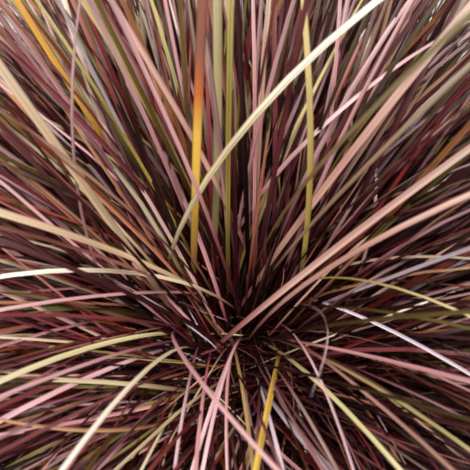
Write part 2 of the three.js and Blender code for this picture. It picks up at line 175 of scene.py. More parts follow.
# Single leaves that stand out among the thin ones, given in the same way. They have no solid of their own.
STRAY_LEAVES = (
    ("olive", 1, 85, 6, 0, 24, 290, 1.9),
    ("olive", 16, 65, 9, 51, 104, 310, 1.0),
    ("rose", 6, 83, 4, -23, 53, 290, 1.5),
    ("rose", 42, 94, 8, -4, 58, 290, 1.4),
    ("olive", 11, -96, 4, 55, 29, 285, 2.2),
    ("lilac", 27, 173, 16, -58, 10, 273, 1.6),
    ("rose", 46, 163, 20, -106, 27, 225, 2.4),
    ("rose", 21, 3, 43, 88, 10, 130, 1.6),
    ("bronze", 15, -116, 39, -79, 9, 150, 1.9),
    ("rose", 17, -116, 14, 75, 75, 290, 1.1),
    ("shell", 0, -81, 37, 35, 10, 270, 1.4),
    ("rose", 16, -41, 24, -81, 22, 160, 1.8),
    ("shell", 8, -76, 14, -4, 110, 285, 0.8),
    ("rose", 0, -40, 29, 0, 27, 290, 1.5),
    ("olive", 0, -48, 23, 1, 83, 285, 1.5),
    ("russet", 18, -65, 69, 101, 9, 95, 1.7),
    ("lilac", 8, -25, 22, 13, 10, 290, 1.3),
    ("rose", 4, -135, 21, 1, 54, 290, 1.5),
    ("peach", 1, 77, 12, 42, 25, 285, 2.0),
    ("rose", 3, 84, 5, 9, 70, 290, 1.4),
    ("lilac", 10, -86, 20, 0, 47, 290, 1.4),
    ("amber", 21, -110, 33, 8, 13, 290, 1.7),
    ("rose", 4, -92, 28, 5, 65, 290, 1.3),
    ("shell", 0, -107, 19, 10, 110, 275, 1.2),
    ("straw", 12, -103, 39, 0, 10, 290, 1.1),
    ("shell", 12, -112, 36, -7, 10, 290, 1.3),
    ("lilac", 24, -55, 26, 13, 78, 255, 1.2),
    ("olive", 16, -47, 6, 4, 97, 271, 1.0),
    ("rose", 47, 20, 8, 66, 110, 249, 1.3),
    ("rose", 0, -112, 20, 34, 110, 259, 1.3),
    ("olive", 1, -79, 31, -12, 110, 291, 1.4),
    ("shell", 0, -96, 41, 41, 33, 273, 1.3),
    ("shell", 9, -94, 32, 4, 107, 289, 1.3),
    ("rose", 3, -86, 41, 37, 10, 273, 1.4),
    ("shell", 0, -75, 38, 19, 10, 284, 1.4),
    ("shell", 13, -77, 47, 30, 10, 278, 1.2),
    ("rose", 14, 127, 4, 15, 36, 289, 2.0),
    ("straw", 3, -166, 16, 0, 100, 285, 1.7),
    ("rose", 11, -151, 28, -2, 65, 285, 1.4),
    ("tan", 16, -19, 10, 2, 100, 260, 1.5),
)

# ---- Colours ----

# Each leaf tone at its sheath, low on the blade, at mid blade and at the tip. The near-black sheath colours
# are partly the leaves' own dark bases and partly painted shade of the tussock's heart.
TONES = {
    "wine": ("#120206", "#380f17", "#6c2e33", "#a2695e"),
    "rose": ("#170508", "#803c44", "#c59293", "#d8b6b2"),
    "shell": ("#1c0a0c", "#93686e", "#c69fa2", "#dabdbd"),
    "bronze": ("#120805", "#5d3120", "#99674a", "#c8a072"),
    "russet": ("#180505", "#6a2420", "#a05a48", "#d09678"),
    "peach": ("#1c0c0a", "#98625a", "#d1a695", "#ecd2c0"),
    "tan": ("#180f09", "#776248", "#baa482", "#e0d2b4"),
    "olive": ("#110f08", "#65582a", "#9d8e4e", "#cfc28c"),
    "khaki": ("#18150c", "#908450", "#c6bd88", "#e2dcb8"),
    "straw": ("#21150f", "#988860", "#cfc2a0", "#f6efe0"),
    "amber": ("#2a1e0c", "#b98f34", "#dcb04c", "#d9a25c"),
    "flame": ("#2a1e0c", "#ac883a", "#ffd25c", "#e0803e"),
    "gold": ("#6a5018", "#f4cc58", "#ffe892", "#ecd0a0"),
    # The lilac leaves' near-white colours are a painted reflection of the sky on glossy leaves.
    "lilac": ("#2a1d22", "#dccad4", "#ecdfe7", "#c8b2b0"),
    "husk": ("#0e0807", "#2a1a13", "#5c4030", "#8a6b4c"),
}
TONE_NAMES = tuple(TONES)
# Where those colours lie along a leaf: the mid-blade colour holds between its two places.
COLOUR_PLACES = (0.04, 0.14, 0.27, 0.42, 0.64)
FLAME_PLACES = (0.02, 0.16, 0.25, 0.345, 0.39)
FLAME_END = (0.435, "#9c6a56")  # the leaf that flames is dull again above this
# A leaf's variant is partly tone that differs at random and partly painted shade: the darker variants stand
# for leaves deep in the tussock's shade.
VARIANTS = 32  # differently marked leaves in each tone; the higher its number, the sooner a leaf turns light
LIGHT_VARIANT = 24  # the first of those that are light nearly from their foot


def linear(hex_code):
    """An sRGB hex colour as linear red, green, blue and a full alpha."""
    shares = [int(hex_code[i : i + 2], 16) / 255 for i in (1, 3, 5)]
    return [s / 12.92 if s <= 0.04045 else ((s + 0.055) / 1.055) ** 2.4 for s in shares] + [1.0]


def colour_property(name, description, hex_code):
    limits = {"subtype": "COLOR", "size": 4, "min": 0, "max": 1, "default": linear(hex_code)}
    return bpy.props.FloatVectorProperty(name=name, description=description, **limits)


def tone_property(tone):
    return colour_property(tone.capitalize(), f"Colour of the {tone} leaves at mid blade", TONES[tone][2])


def number_property(name, description, default, low=0, **limits):
    """A setting that is a whole number where its default is one."""
    kind = bpy.props.IntProperty if isinstance(default, int) else bpy.props.FloatProperty
    return kind(name=name, description=description, default=default, min=low, **limits)


# ---- Settings ----


class SedgeLeafSettings(bpy.types.PropertyGroup):
    """Colours, sections and numbers of the leaves."""

    __annotations__ = {tone: tone_property(tone) for tone in TONES}
    channel: number_property("Channel depth", "Depth of the groove, as a share of the width", 0.16, max=0.5)
    keel: number_property("Keel depth", "Depth of the keel, as a share of the width", 0.3, 0.05, max=0.6)
    dome_leaves: number_property("Dome leaves", "Thin leaves all over the dome", 5600)
    skirt_leaves: number_property("Skirt leaves", "Older leaves that arch low over the rim of the pot", 2400)
    short_leaves: number_property("Short leaves", "Young and broken leaves round the heart", 1300)
    old_leaves: number_property("Old leaves", "Dead leaves, dry and curled", 300)


class SedgePotSettings(bpy.types.PropertyGroup):
    """The pot and what fills it."""

    plastic: colour_property("Plastic", "Colour of the pot", "#262524")
    peat: colour_property("Peat", "Colour of the damp potting soil", "#2a1c14")
    bark: colour_property("Bark", "Colour of the bark crumbs in the soil", "#5a3d28")
    turns: number_property("Sides", "Number of flat sides that the round pot is made of", 144, 24)
    crumbs: number_property("Crumbs", "Crumbs of peat and bark that lie on the soil", 1100)
    fibres: number_property("Fibres", "Loose fibres of old sheaths round the root crown", 480)


class SedgeStageSettings(bpy.types.PropertyGroup):
    """Floor, lights and camera."""

    floor: colour_property("Floor", "Colour of the plain floor", "#a9a6a1")
    overhead: number_property("Overhead light", "Strength of the broad soft light above the plant", 4.8)
    f_stop: number_property("F-stop", "Stop of the lens: higher keeps the nearest leaves sharper", 26.0, 1)
    world: number_property("Room light", "Strength of the even light from all round", 0.64)
    backdrop: number_property("Backdrop", "Brightness of the room behind the plant", 0.85)


# ---- Building helpers ----

# Kinds of node that come up again and again.
MATH = "ShaderNodeMath"
VECTOR = "ShaderNodeVectorMath"
SPLIT = "ShaderNodeSeparateXYZ"
JOIN = "ShaderNodeCombineXYZ"
MIX = "ShaderNodeMix"
RANGE = "ShaderNodeMapRange"
NOISE = "ShaderNodeTexNoise"
COMPARE = "FunctionNodeCompare"
STORE = "GeometryNodeStoreNamedAttribute"
SCATTER = "GeometryNodeInstanceOnPoints"
REALIZE = "GeometryNodeRealizeInstances"
COAT = "GeometryNodeSetMaterial"
COLOURS = {"data_type": "RGBA"}
ARROWS = {"data_type": "VECTOR"}
SAME_NUMBER = {"data_type": "INT", "operation": "EQUAL"}
MAP_CORNERS = {"data_type": "FLOAT2", "domain": "CORNER"}


def add(tree, kind, settings=None, *values, **named):
    """Adds a node and gives back its first output. Its settings may be its operation's name alone. Values
    go to its inputs in use from the first on, and named ones to theirs, with _ for a space. An input gets
    a value, or a link where what is given is another node's output."""
    node = tree.nodes.new(kind)
    if isinstance(settings, str):
        settings = {"operation": settings}
    for name, value in (settings or {}).items():
        setattr(node, name, value)
    in_use = [s for s in node.inputs if s.enabled]
    by_name = [next(s for s in in_use if s.name == name.replace("_", " ")) for name in named]
    for socket, value in (*zip(in_use, values), *zip(by_name, named.values())):
        if isinstance(value, bpy.types.NodeSocket):
            tree.links.new(value, socket)
        else:
            socket.default_value = value
    return next((s for s in node.outputs if s.enabled), None)


def new_tree(name, taken, inputs, made, attributes):
    """A geometry tree that makes one geometry from another. Gives back the tree, what it is given, and what
    it reads of the attributes."""
    tree = bpy.data.node_groups.new(name, "GeometryNodeTree")
    tree.interface.new_socket(taken, in_out="INPUT", socket_type="NodeSocketGeometry")
    for socket, kind, default in inputs:
        tree.interface.new_socket(socket, in_out="INPUT", socket_type=kind).default_value = default
    tree.interface.new_socket(made, in_out="OUTPUT", socket_type="NodeSocketGeometry")
    own = {
        key: add(tree, "GeometryNodeInputNamedAttribute", {"data_type": kind}, Name=key)
        for key, kind in attributes.items()
    }
    return tree, tree.nodes.new("NodeGroupInput").outputs, own


def new_material(name, **settings):
    """A material with one Principled shader, whose plain numbers are set here."""
    material = bpy.data.materials.new(name)
    material.use_nodes = True
    shader = next(n for n in material.node_tree.nodes if n.type == "BSDF_PRINCIPLED")
    for socket, value in settings.items():
        shader.inputs[socket.replace("_", " ")].default_value = value
    return material, material.node_tree, shader


def new_object(name, data):
    """An object of the scene, at the origin."""
    made = bpy.data.objects.new(name, data)
    bpy.context.scene.collection.objects.link(made)
    return made


def finished_piece(name, mesh, replaced=()):
    """A piece at the origin that rides with the frame."""
    piece = new_object(name, mesh)
    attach(piece, "root")
    if replaced:
        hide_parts(*replaced)
    return piece


def settled_mesh(piece):
    """The mesh that the piece's modifiers make, which are then taken off."""
    graph = bpy.context.evaluated_depsgraph_get()
    mesh = bpy.data.meshes.new_from_object(piece.evaluated_get(graph), depsgraph=graph)
    piece.modifiers.clear()
    return mesh


def evaluated_mesh(name, points, attributes, tree, settings):
    """Runs a geometry tree on a cloud of points that carry attributes, and gives back the mesh it makes."""
    cloud = bpy.data.meshes.new(name)
    cloud.vertices.add(len(points))
    cloud.vertices.foreach_set("co", np.asarray(points, np.float32).ravel())
    for key, values in attributes.items():
        values = np.asarray(values)
        kind = "FLOAT_VECTOR" if values.ndim == 2 else "INT" if values.dtype.kind == "i" else "FLOAT"
        store = cloud.attributes.new(key, kind, "POINT").data
        flat = values.astype(np.int32 if kind == "INT" else np.float32).ravel()
        store.foreach_set("vector" if kind == "FLOAT_VECTOR" else "value", flat)
    holder = new_object(name, cloud)
    modifier = holder.modifiers.new("Nodes", "NODES")
    modifier.node_group = tree
    for socket in tree.interface.items_tree:
        if socket.name in settings:
            modifier[socket.identifier] = settings[socket.name]
    mesh = settled_mesh(holder)
    bpy.data.objects.remove(holder)
    bpy.data.meshes.remove(cloud)
    for key in (*attributes, "along", "section"):
        if key in mesh.attributes:
            mesh.attributes.remove(mesh.attributes[key])
    mesh.name = name
    return mesh


# ---- Leaf arcs ----


def way_of(azimuth, lean):
    """Unit vectors from azimuths and leans from the vertical, in degrees."""
    a, l = np.radians(azimuth), np.radians(lean)
    return np.stack([np.sin(l) * np.cos(a), np.sin(l) * np.sin(a), np.cos(l)], -1)


def arcs_of(places, leaves):
    """The three control points of each leaf's quadratic arc: its root, its bow and its tip."""
    turn = np.radians(leaves["azimuth"])
    offset = np.stack([np.cos(turn), np.sin(turn), np.zeros_like(turn)], -1) * LEAF_OFFSET_MM
    root = places + offset
    half = (np.asarray(leaves["length"]) / 2)[..., None]
    bow = root + way_of(leaves["azimuth"], leaves["lean"]) * half
    ending = way_of(
        np.asarray(leaves["azimuth"]) + leaves["sway"], np.asarray(leaves["lean"]) + leaves["droop"]
    )
    return np.stack([root, bow, bow + ending * half], -2)


def points_on(arcs, steps):
    t = np.linspace(0, 1, steps + 1)[:, None]
    root, bow, tip = (arcs[..., None, i, :] for i in range(3))
    return (1 - t) ** 2 * root + 2 * t * (1 - t) * bow + t * t * tip


def keep_clear(arcs, parting_radius):
    """True for each arc that keeps off the surface below, the crown, the pot's lip and the parting."""
    points = points_on(arcs, CHECK_POINTS)
    radius = np.hypot(points[..., 0], points[..., 1])
    floor = np.full(radius.shape, float(TABLE_CLEARANCE_MM))
    inside = POT_TOP_RADIUS_MM - POT_WALL_MM - LIP_MARGIN_MM
    outside = POT_TOP_RADIUS_MM + LIP_PROUD_MM + LIP_MARGIN_MM
    floor[radius < outside] = POT_HEIGHT_MM + LIP_CLEARANCE_MM
    floor[radius < inside] = SOIL_LEVEL_MM + LIP_CLEARANCE_MM
    floor[radius < CROWN_RADIUS_MM] = CROWN_TOP_MM + (ROOT_LEVEL_MM - CROWN_TOP_MM) / 2
    above = points[..., 2] >= floor
    clear = np.linalg.norm(points - np.array(PARTING_CENTRE_MM), axis=-1) >= parting_radius
    near = np.linalg.norm(points - np.array((0, 0, ROOT_LEVEL_MM)), axis=-1) <= REACH_MM
    return (above & clear & near).all(-1)


def piece_distances(a, b, c, d):
    """The least distance between the straight pieces a-b and c-d, pair by pair."""
    along, other, between = b - a, d - c, a - c
    aa, bb, cc = (along * along).sum(-1), (along * other).sum(-1), (other * other).sum(-1)
    dd, ee = (along * between).sum(-1), (other * between).sum(-1)
    det = aa * cc - bb * bb
    s = np.where(det > 1e-9, np.clip((bb * ee - cc * dd) / np.where(det > 1e-9, det, 1), 0, 1), 0)
    t = np.clip((bb * s + ee) / cc, 0, 1)
    s = np.clip((bb * t - dd) / aa, 0, 1)
    return np.linalg.norm(between + along * s[..., None] - other * t[..., None], axis=-1)


def least_distance(chain, others):
    """The least distance from one chain of points to each of several others."""
    a, b = chain[:-1, None], chain[1:, None]
    c, d = others[:, None, :-1], others[:, None, 1:]
    return piece_distances(a[None], b[None], c, d).min((1, 2))


def past_foot(chain):
    """The chain without its first stretch, which sister leaves share."""
    foot = np.linalg.norm(chain[1] - chain[0])
    start = chain[0] + (chain[1] - chain[0]) * (SHARED_FOOT_MM / foot)
    return np.vstack([start, chain[1:]])


def shoot_places():
    """Where the shoots stand: each a golden angle further round and a little further out."""
    i = np.arange(SHOOTS)
    radius = TUFT_RADIUS_MM * np.sqrt((i + 0.5) / SHOOTS)
    turn = i * GOLDEN_ANGLE
    return np.stack([radius * np.cos(turn), radius * np.sin(turn), np.full(SHOOTS, ROOT_LEVEL_MM)], -1)


class FrameTuft:
    """The shoots' leaves, grown by the rule that grew them in the frame: leading leaves first, then as many
    of the fill as find room."""

    def __init__(self):
        self.state = FRAME_SEED
        self.places = shoot_places()
        self.leaves = []
        foot, top = self.places.copy(), self.places.copy()
        foot[:, 2] = CROWN_TOP_MM
        top[:, 2] = ROOT_LEVEL_MM + SHOOT_PROUD_MM
        self.stubs = np.stack([foot, top], 1)
        for tone, shoot, *shape in LEADING_LEAVES:
            if not self.grow(shoot, dict(zip(LEAF_SHAPE, shape)), tone):
                raise RuntimeError(f"shoot {shoot} has no room for a leading leaf")
        for turn in range(LEAVES_PER_SHOOT):
            for shoot in range(SHOOTS):
                if sum(leaf["shoot"] == shoot for leaf in self.leaves) <= turn:
                    self.grow_one(shoot, self.drawn_leaf)
        for _ in range(SKIRT_PER_SHOOT):
            for shoot in range(SKIRT_FROM, SHOOTS):
                self.grow_one(shoot, self.drawn_skirt_leaf)

    def draw(self, low, high):
        self.state = self.state * 16807 % 2147483647
        return low + (high - low) * (self.state / 2147483647)

    def drawn_leaf(self, place):
        outward = math.hypot(place[0], place[1]) / TUFT_RADIUS_MM
        leaf = self.drawn(place, INNER_STRAY + (OUTER_STRAY - INNER_STRAY) * outward, FILL)
        leaf["lean"] += OUTER_LEAN * outward * outward
        leaf["droop"] += OUTER_DROOP * outward
        return leaf

    def drawn_skirt_leaf(self, place):
        return self.drawn(place, SKIRT_STRAY, SKIRT_FILL)

    def drawn(self, place, stray, ends):
        facing = math.degrees(math.atan2(place[1], place[0]))
        leaf = {"azimuth": facing + self.draw(-stray, stray)}
        return leaf | {name: self.draw(*pair) for name, pair in ends.items()}

    def grow_one(self, shoot, draw_one):
        for _ in range(TRIES):
            if self.grow(shoot, draw_one(self.places[shoot]), None):
                return

    def grow(self, shoot, leaf, tone):
        """Grows the leaf and says True if it has room."""
        arc = arcs_of(self.places[shoot], leaf)
        if not keep_clear(arc[None], PARTING_RADIUS_MM)[0]:
            return False
        chain = points_on(arc[None], LEAF_STEPS)[0]
        others = np.arange(SHOOTS) != shoot
        if (least_distance(chain[:3], self.stubs[others]) < STUB_SPACING_MM).any():
            return False
        if self.leaves:
            owners = np.array([other["shoot"] for other in self.leaves])
            chains = np.array([other["chain"] for other in self.leaves])
            away = owners != shoot
            if away.any() and (least_distance(chain, chains[away]) < LEAF_SPACING_MM).any():
                return False
            if (~away).any():
                sisters = np.array([past_foot(c) for c in chains[~away]])
                if (least_distance(past_foot(chain), sisters) < SISTER_SPACING_MM).any():
                    return False
        self.leaves.append({**leaf, "shoot": shoot, "tone": tone, "arc": arc, "chain": chain})
        return True


# ---- Blade geometry ----

BLADE_INPUTS = (
    ("Steps", "NodeSocketInt", 12),
    ("Sides", "NodeSocketInt", 4),
    ("Channel", "NodeSocketFloat", 0.16),
    ("Keel", "NodeSocketFloat", 0.3),
    ("Columns", "NodeSocketInt", VARIANTS),
    ("Wander Scale", "NodeSocketFloat", 2.2),
    ("Curl Turns", "NodeSocketFloat", 1.4),
)
# What each leaf's point carries, and what the blade itself does: its place along and in its section.
BLADE_ATTRIBUTES = (
    dict.fromkeys(("root", "bow", "tip", "section"), "FLOAT_VECTOR")
    | dict.fromkeys(("along", "width", "twist", "roll", "wander", "curl", "chance"), "FLOAT")
    | dict.fromkeys(("variant", "column", "tone"), "INT")
)
WIDTH_ALONG = ((0, 0.46), (0.12, 0.72), (0.28, 0.96), (0.45, 1), (0.62, 0.86), (0.8, 0.58), (1, 0.02))
CURL_START = 0.72  # share of the leaf that stays straight
MAP_EDGE = 0.02  # share of a map column left free at each side
CHANCE_APART = 97.0  # how far apart in the noise the leaves' chances set them


def blade_tree(materials):
    """Keeled blades: each point of the cloud becomes a closed blade along the arc that its attributes give.
    LeafMap holds the leaf's variant and place across it in u and the place along it in v, for the colours;
    OFBake lays the same columns side by side."""
    tree, given, own = new_tree("Keeled blades", "Leaves", BLADE_INPUTS, "Blades", BLADE_ATTRIBUTES)

    # The section: a ring pressed into a channel above and a keel below, one unit wide.
    ring = add(tree, "GeometryNodeCurvePrimitiveCircle", Resolution=given["Sides"], Radius=1.0)
    at = add(tree, SPLIT, None, add(tree, "GeometryNodeInputPosition")).node.outputs
    upper = add(tree, COMPARE, "GREATER_THAN", at["Y"], 0.0)
    depth = add(tree, "GeometryNodeSwitch", {"input_type": "FLOAT"}, upper, given["Keel"], given["Channel"])
    sunk = add(tree, MATH, "MULTIPLY", add(tree, MATH, "MULTIPLY", at["Y"], at["Y"]), depth)
    half = add(tree, MATH, "MULTIPLY", at["X"], 0.5)
    section = add(tree, JOIN, None, half, add(tree, MATH, "MULTIPLY", sunk, -1.0))
    ring = add(tree, STORE, {"data_type": "FLOAT_VECTOR"}, Geometry=ring, Name="section", Value=section)

    # One upright unit blade, with its lengthwise edges sharp at the margins, the channel and the keel.
    rail = add(tree, "GeometryNodeCurvePrimitiveLine", Start=(0, 0, 0), End=(0, 0, 1))
    count = add(tree, MATH, "ADD", given["Steps"], 1.0)
    rail = add(tree, "GeometryNodeResampleCurve", Curve=rail, Count=count)
    blade = add(tree, "GeometryNodeCurveToMesh", Curve=rail, Profile_Curve=ring, Fill_Caps=True)
    height = add(tree, SPLIT, None, add(tree, "GeometryNodeInputPosition")).node.outputs["Z"]
    blade = add(tree, STORE, {"data_type": "FLOAT"}, Geometry=blade, Name="along", Value=height)
    ends = add(tree, "GeometryNodeInputMeshEdgeVertices").node.outputs
    span = add(tree, VECTOR, "SUBTRACT", ends["Position 1"], ends["Position 2"])
    rise = add(tree, MATH, "ABSOLUTE", add(tree, SPLIT, None, span).node.outputs["Z"])
    lengthwise = add(tree, COMPARE, "GREATER_THAN", rise, 0.001)
    sideways = add(tree, MATH, "ABSOLUTE", add(tree, SPLIT, None, own["section"]))
    crease = add(tree, COMPARE, "LESS_THAN", add(tree, MATH, "PINGPONG", sideways, 0.25), 0.01)
    sharp = add(tree, "FunctionNodeBooleanMath", "AND", lengthwise, crease)
    on_edges = {"data_type": "BOOLEAN", "domain": "EDGE"}
    blade = add(tree, STORE, on_edges, Geometry=blade, Name="sharp_edge", Value=sharp)
    placed = add(tree, REALIZE, None, add(tree, SCATTER, Points=given["Leaves"], Instance=blade))

    # Along the arc, by halving between its three control points.
    along, root, bow, tip = (own[name] for name in ("along", "root", "bow", "tip"))
    first = add(tree, MIX, ARROWS, Factor=along, A=root, B=bow)
    second = add(tree, MIX, ARROWS, Factor=along, A=bow, B=tip)
    middle = add(tree, MIX, ARROWS, Factor=along, A=first, B=second)
    ahead = add(tree, VECTOR, "NORMALIZE", add(tree, VECTOR, "SUBTRACT", second, first))
    set_out = add(tree, VECTOR, "SUBTRACT", bow, root)
    end_on = add(tree, VECTOR, "SUBTRACT", tip, bow)
    side = add(tree, VECTOR, "NORMALIZE", add(tree, VECTOR, "CROSS_PRODUCT", set_out, end_on))
    turned = {"Center": (0, 0, 0), "Axis": ahead}
    turned["Angle"] = add(tree, MATH, "MULTIPLY_ADD", along, own["twist"], own["roll"])
    side = add(tree, "ShaderNodeVectorRotate", {"rotation_type": "AXIS_ANGLE"}, Vector=side, **turned)
    above = add(tree, VECTOR, "CROSS_PRODUCT", ahead, side)

    # Breadth: the section stretched by the leaf's width there.
    taper = add(tree, "ShaderNodeFloatCurve", Value=along)
    curve = taper.node.mapping.curves[0]
    for i, (x, y) in enumerate(WIDTH_ALONG):
        if i < 2:
            curve.points[i].location = (x, y)
        else:
            curve.points.new(x, y)
    taper.node.mapping.update()
    broad = add(tree, MATH, "MULTIPLY", taper, own["width"])
    part = add(tree, SPLIT, None, own["section"]).node.outputs
    out, down = (add(tree, MATH, "MULTIPLY", part[axis], broad) for axis in "XY")

    # Curl: the last stretch swings round in a widening loop.
    late = add(tree, RANGE, None, along, CURL_START, 1.0)
    curl = add(tree, MATH, "MULTIPLY", late, own["curl"])
    angle = add(tree, MATH, "MULTIPLY", late, given["Curl Turns"])
    angle = add(tree, MATH, "MULTIPLY", angle, 2 * math.pi)
    back = add(tree, MATH, "SUBTRACT", add(tree, MATH, "COSINE", angle), 1.0)
    out = add(tree, MATH, "MULTIPLY_ADD", curl, add(tree, MATH, "SINE", angle), out)
    down = add(tree, MATH, "MULTIPLY_ADD", curl, back, down)

    # Wander: a slow drift off the arc, different for each leaf.
    where = add(tree, JOIN, None, along, add(tree, MATH, "MULTIPLY", own["chance"], CHANCE_APART))
    drift = add(tree, NOISE, Vector=where, Scale=given["Wander Scale"], Detail=1.0).node.outputs["Color"]
    drift = add(tree, VECTOR, "SUBTRACT", drift, (0.5, 0.5, 0.5))
    rising = add(tree, MATH, "MULTIPLY", along, own["wander"])

    spot = middle
    for way, share in ((side, out), (above, down), (drift, rising)):
        spot = add(tree, VECTOR, "ADD", spot, add(tree, VECTOR, "SCALE", way, Scale=share))
    blades = add(tree, "GeometryNodeSetPosition", Geometry=placed, Position=spot)

    # The two maps.
    across = add(tree, RANGE, None, part["X"], -0.5, 0.5, MAP_EDGE, 1 - MAP_EDGE)
    leaf_u = add(tree, MATH, "ADD", across, own["variant"])
    flat_u = add(tree, MATH, "DIVIDE", add(tree, MATH, "ADD", across, own["column"]), given["Columns"])
    flat_v = add(tree, RANGE, None, along, 0.0, 1.0, MAP_EDGE / 2, 1 - MAP_EDGE / 2)
    for name, u, v in (("LeafMap", leaf_u, along), ("OFBake", flat_u, flat_v)):
        blades = add(tree, STORE, MAP_CORNERS, Geometry=blades, Name=name, Value=add(tree, JOIN, None, u, v))

    blades = add(tree, "GeometryNodeSetShadeSmooth", Geometry=blades, Shade_Smooth=True)
    for index, tone in enumerate(TONE_NAMES):
        chosen = add(tree, COMPARE, SAME_NUMBER, own["tone"], index)
        blades = add(tree, COAT, Geometry=blades, Selection=chosen, Material=materials[tone])
    tree.links.new(blades, tree.nodes.new("NodeGroupOutput").inputs[0])
    return tree


def blades_mesh(name, arcs, leaves, settings, columns=VARIANTS, column=None, **inputs):
    """The blades along arcs given in millimetres, with the leaves' own attributes."""
    tree = bpy.data.node_groups.get("Keeled blades") or blade_tree(leaf_materials(settings))
    attributes = dict(zip(("root", "bow", "tip"), arcs.transpose(1, 0, 2) * MM))
    attributes |= {key: leaves[key] * MM for key in ("width", "wander", "curl")}
    attributes |= {key: np.radians(leaves[key]) for key in ("twist", "roll")}
    attributes |= {key: leaves[key].astype(int) for key in ("variant", "tone")}
    attributes["chance"] = leaves["chance"]
    attributes["column"] = attributes["variant"] if column is None else column
    inputs |= {"Columns": columns, "Channel": settings.channel, "Keel": settings.keel}
    return evaluated_mesh(name, np.zeros((len(arcs), 3)), attributes, tree, inputs)


def broad_blades(name, arcs, leaves, settings):
    """Blades in full detail, each with a column of its own in the flat map."""
    columns = {"columns": len(arcs), "column": np.arange(len(arcs))}
    return blades_mesh(name, arcs, leaves, settings, **columns, Steps=SHOOT_STEPS, Sides=SHOOT_SIDES)


# ---- Leaf materials ----

LEAF_ROUGHNESS = 0.45
LEAF_SPECULAR = 0.22
# Painted shade: the darker a variant, the further up its blade the dark sheath colour reaches, so the heart
# looks shaded.
PACE = (-0.33, 0.04)  # how far the colours lie from their places, in the darkest and the lightest variant
BLUSH = ("#8a4040", 0.4)  # its colour, and its share where it is strongest
# Painted shade: a darker line down the groove of the channel.
CHANNEL_SHADE = "#5a2424"
# Dark red margins: partly the leaf's own red edge, partly painted shade of its rounded sides.
MARGIN = ("#4a161a", 0.7)
# Painted shade: the darker variants are painted darker all over, as leaves deep in the tussock's shade.
VALUE_RANGE = (0.3, 1.3)  # from the darkest variants to the lightest
# Noise that runs along a leaf, for its blush, its aged stretches and its ribs: how fine each is along and
# across the leaf, and where in the noise it starts.
DRIFTS = ((2.2, 0.4, 11.0), (5.0, 0.6, 0.0), (2.5, 9.0, 23.0))
VARIANT_APART = 3.7  # how far apart in the noise the variants are


def leaf_material(tone, body):
    """Sedge leaf, grown: a satin cuticle over fine lengthwise ribs. Gives the eye a soft sheen, a darker
    line down the channel that is painted shade of the groove, dark red margins that are partly the leaf's
    own and partly painted shade of its rounded sides, a blush that comes and goes, and no two leaves alike.
    Its darker variants are painted darker, as painted shade deep in the tussock."""
    material, tree, shader = new_material(f"sedge_leaf_{tone}", Roughness=LEAF_ROUGHNESS)
    shader.inputs["Specular IOR Level"].default_value = LEAF_SPECULAR
    foot, lower, _, tip = TONES[tone]
    place = add(tree, SPLIT, None, add(tree, "ShaderNodeUVMap", {"uv_map": "LeafMap"})).node.outputs
    variant = add(tree, MATH, "FLOOR", place["X"])
    across = add(tree, MATH, "FRACT", place["X"])
    inward = add(tree, MATH, "PINGPONG", across, 0.5)
    chances = add(tree, "ShaderNodeTexWhiteNoise", {"noise_dimensions": "1D"}, W=variant)
    chances = add(tree, "ShaderNodeSeparateColor", None, chances.node.outputs["Color"]).node.outputs
    drifts = []
    for fine_along, fine_across, start in DRIFTS:
        spot = (
            add(tree, MATH, "MULTIPLY", place["Y"], fine_along),
            add(tree, MATH, "MULTIPLY", across, fine_across),
            add(tree, MATH, "MULTIPLY_ADD", variant, VARIANT_APART, start),
        )
        drifts.append(add(tree, NOISE, Vector=add(tree, JOIN, None, *spot), Scale=1.0, Detail=1.0))

    # Each of these runs evenly from one value to another while its source runs between its own two.
    last = VARIANTS - 1.0
    pace, blush, line, faint, margin, aged, ribs, chance, hue, vivid = (
        add(tree, RANGE, None, *row)
        for row in (
            (variant, 0.0, last, *PACE),
            (drifts[0], 0.42, 0.72, 0.0, BLUSH[1]),
            (inward, 0.34, 0.5, 0.0, 1.0),
            (chances[2], 0.35, 1.0, 0.0, 0.7),
            (inward, 0.0, 0.17, MARGIN[1], 0.0),
            (drifts[1], 0.35, 0.68, 0.8, 1.18),
            (drifts[2], 0.3, 0.7, 0.86, 1.12),
            (chances[1], 0.0, 1.0, 0.88, 1.12),
            (chances[2], 0.0, 1.0, 0.492, 0.508),
            (chances[0], 0.0, 1.0, 0.9, 1.16),
        )
    )

    # From foot to tip, each leaf at its own pace: the darker variants keep the dark foot colour further up,
    # as painted shade.
    ramp = add(tree, "ShaderNodeValToRGB", None, add(tree, MATH, "ADD", place["Y"], pace))
    stops = ramp.node.color_ramp.elements
    for spare in (0.3, 0.4, 0.5):
        stops.new(spare)
    colours = (linear(foot), linear(lower), body, body, linear(tip))
    for stop, spot, colour in zip(stops, FLAME_PLACES if tone == "flame" else COLOUR_PLACES, colours):
        stop.position, stop.color = spot, colour
    if tone == "flame":
        stops.new(FLAME_END[0]).color = linear(FLAME_END[1])

    # The blush along it, the darker line down its channel, painted shade of the groove, and its dark
    # margins, partly the leaf's own red edge and partly painted shade of its rounded sides.
    line = add(tree, MATH, "MULTIPLY", line, faint)
    colour = ramp
    for share, other in ((blush, BLUSH[0]), (line, CHANNEL_SHADE), (margin, MARGIN[0])):
        colour = add(tree, MIX, COLOURS, Factor=share, A=colour, B=linear(other))

    # How bright and how vivid it is: the darker variants are painted darker, as painted shade.
    value = add(tree, RANGE, {"interpolation_type": "SMOOTHSTEP"}, variant, 0.0, last, *VALUE_RANGE)
    for other in (aged, ribs, chance):
        value = add(tree, MATH, "MULTIPLY", value, other)
    colour = add(tree, "ShaderNodeHueSaturation", Color=colour, Hue=hue, Saturation=vivid, Value=value)
    tree.links.new(colour, shader.inputs["Base Color"])
    return material


def leaf_materials(settings):
    """The leaf materials by tone."""
    return {tone: leaf_material(tone, list(getattr(settings, tone))) for tone in TONE_NAMES}


# ---- Shoots ----

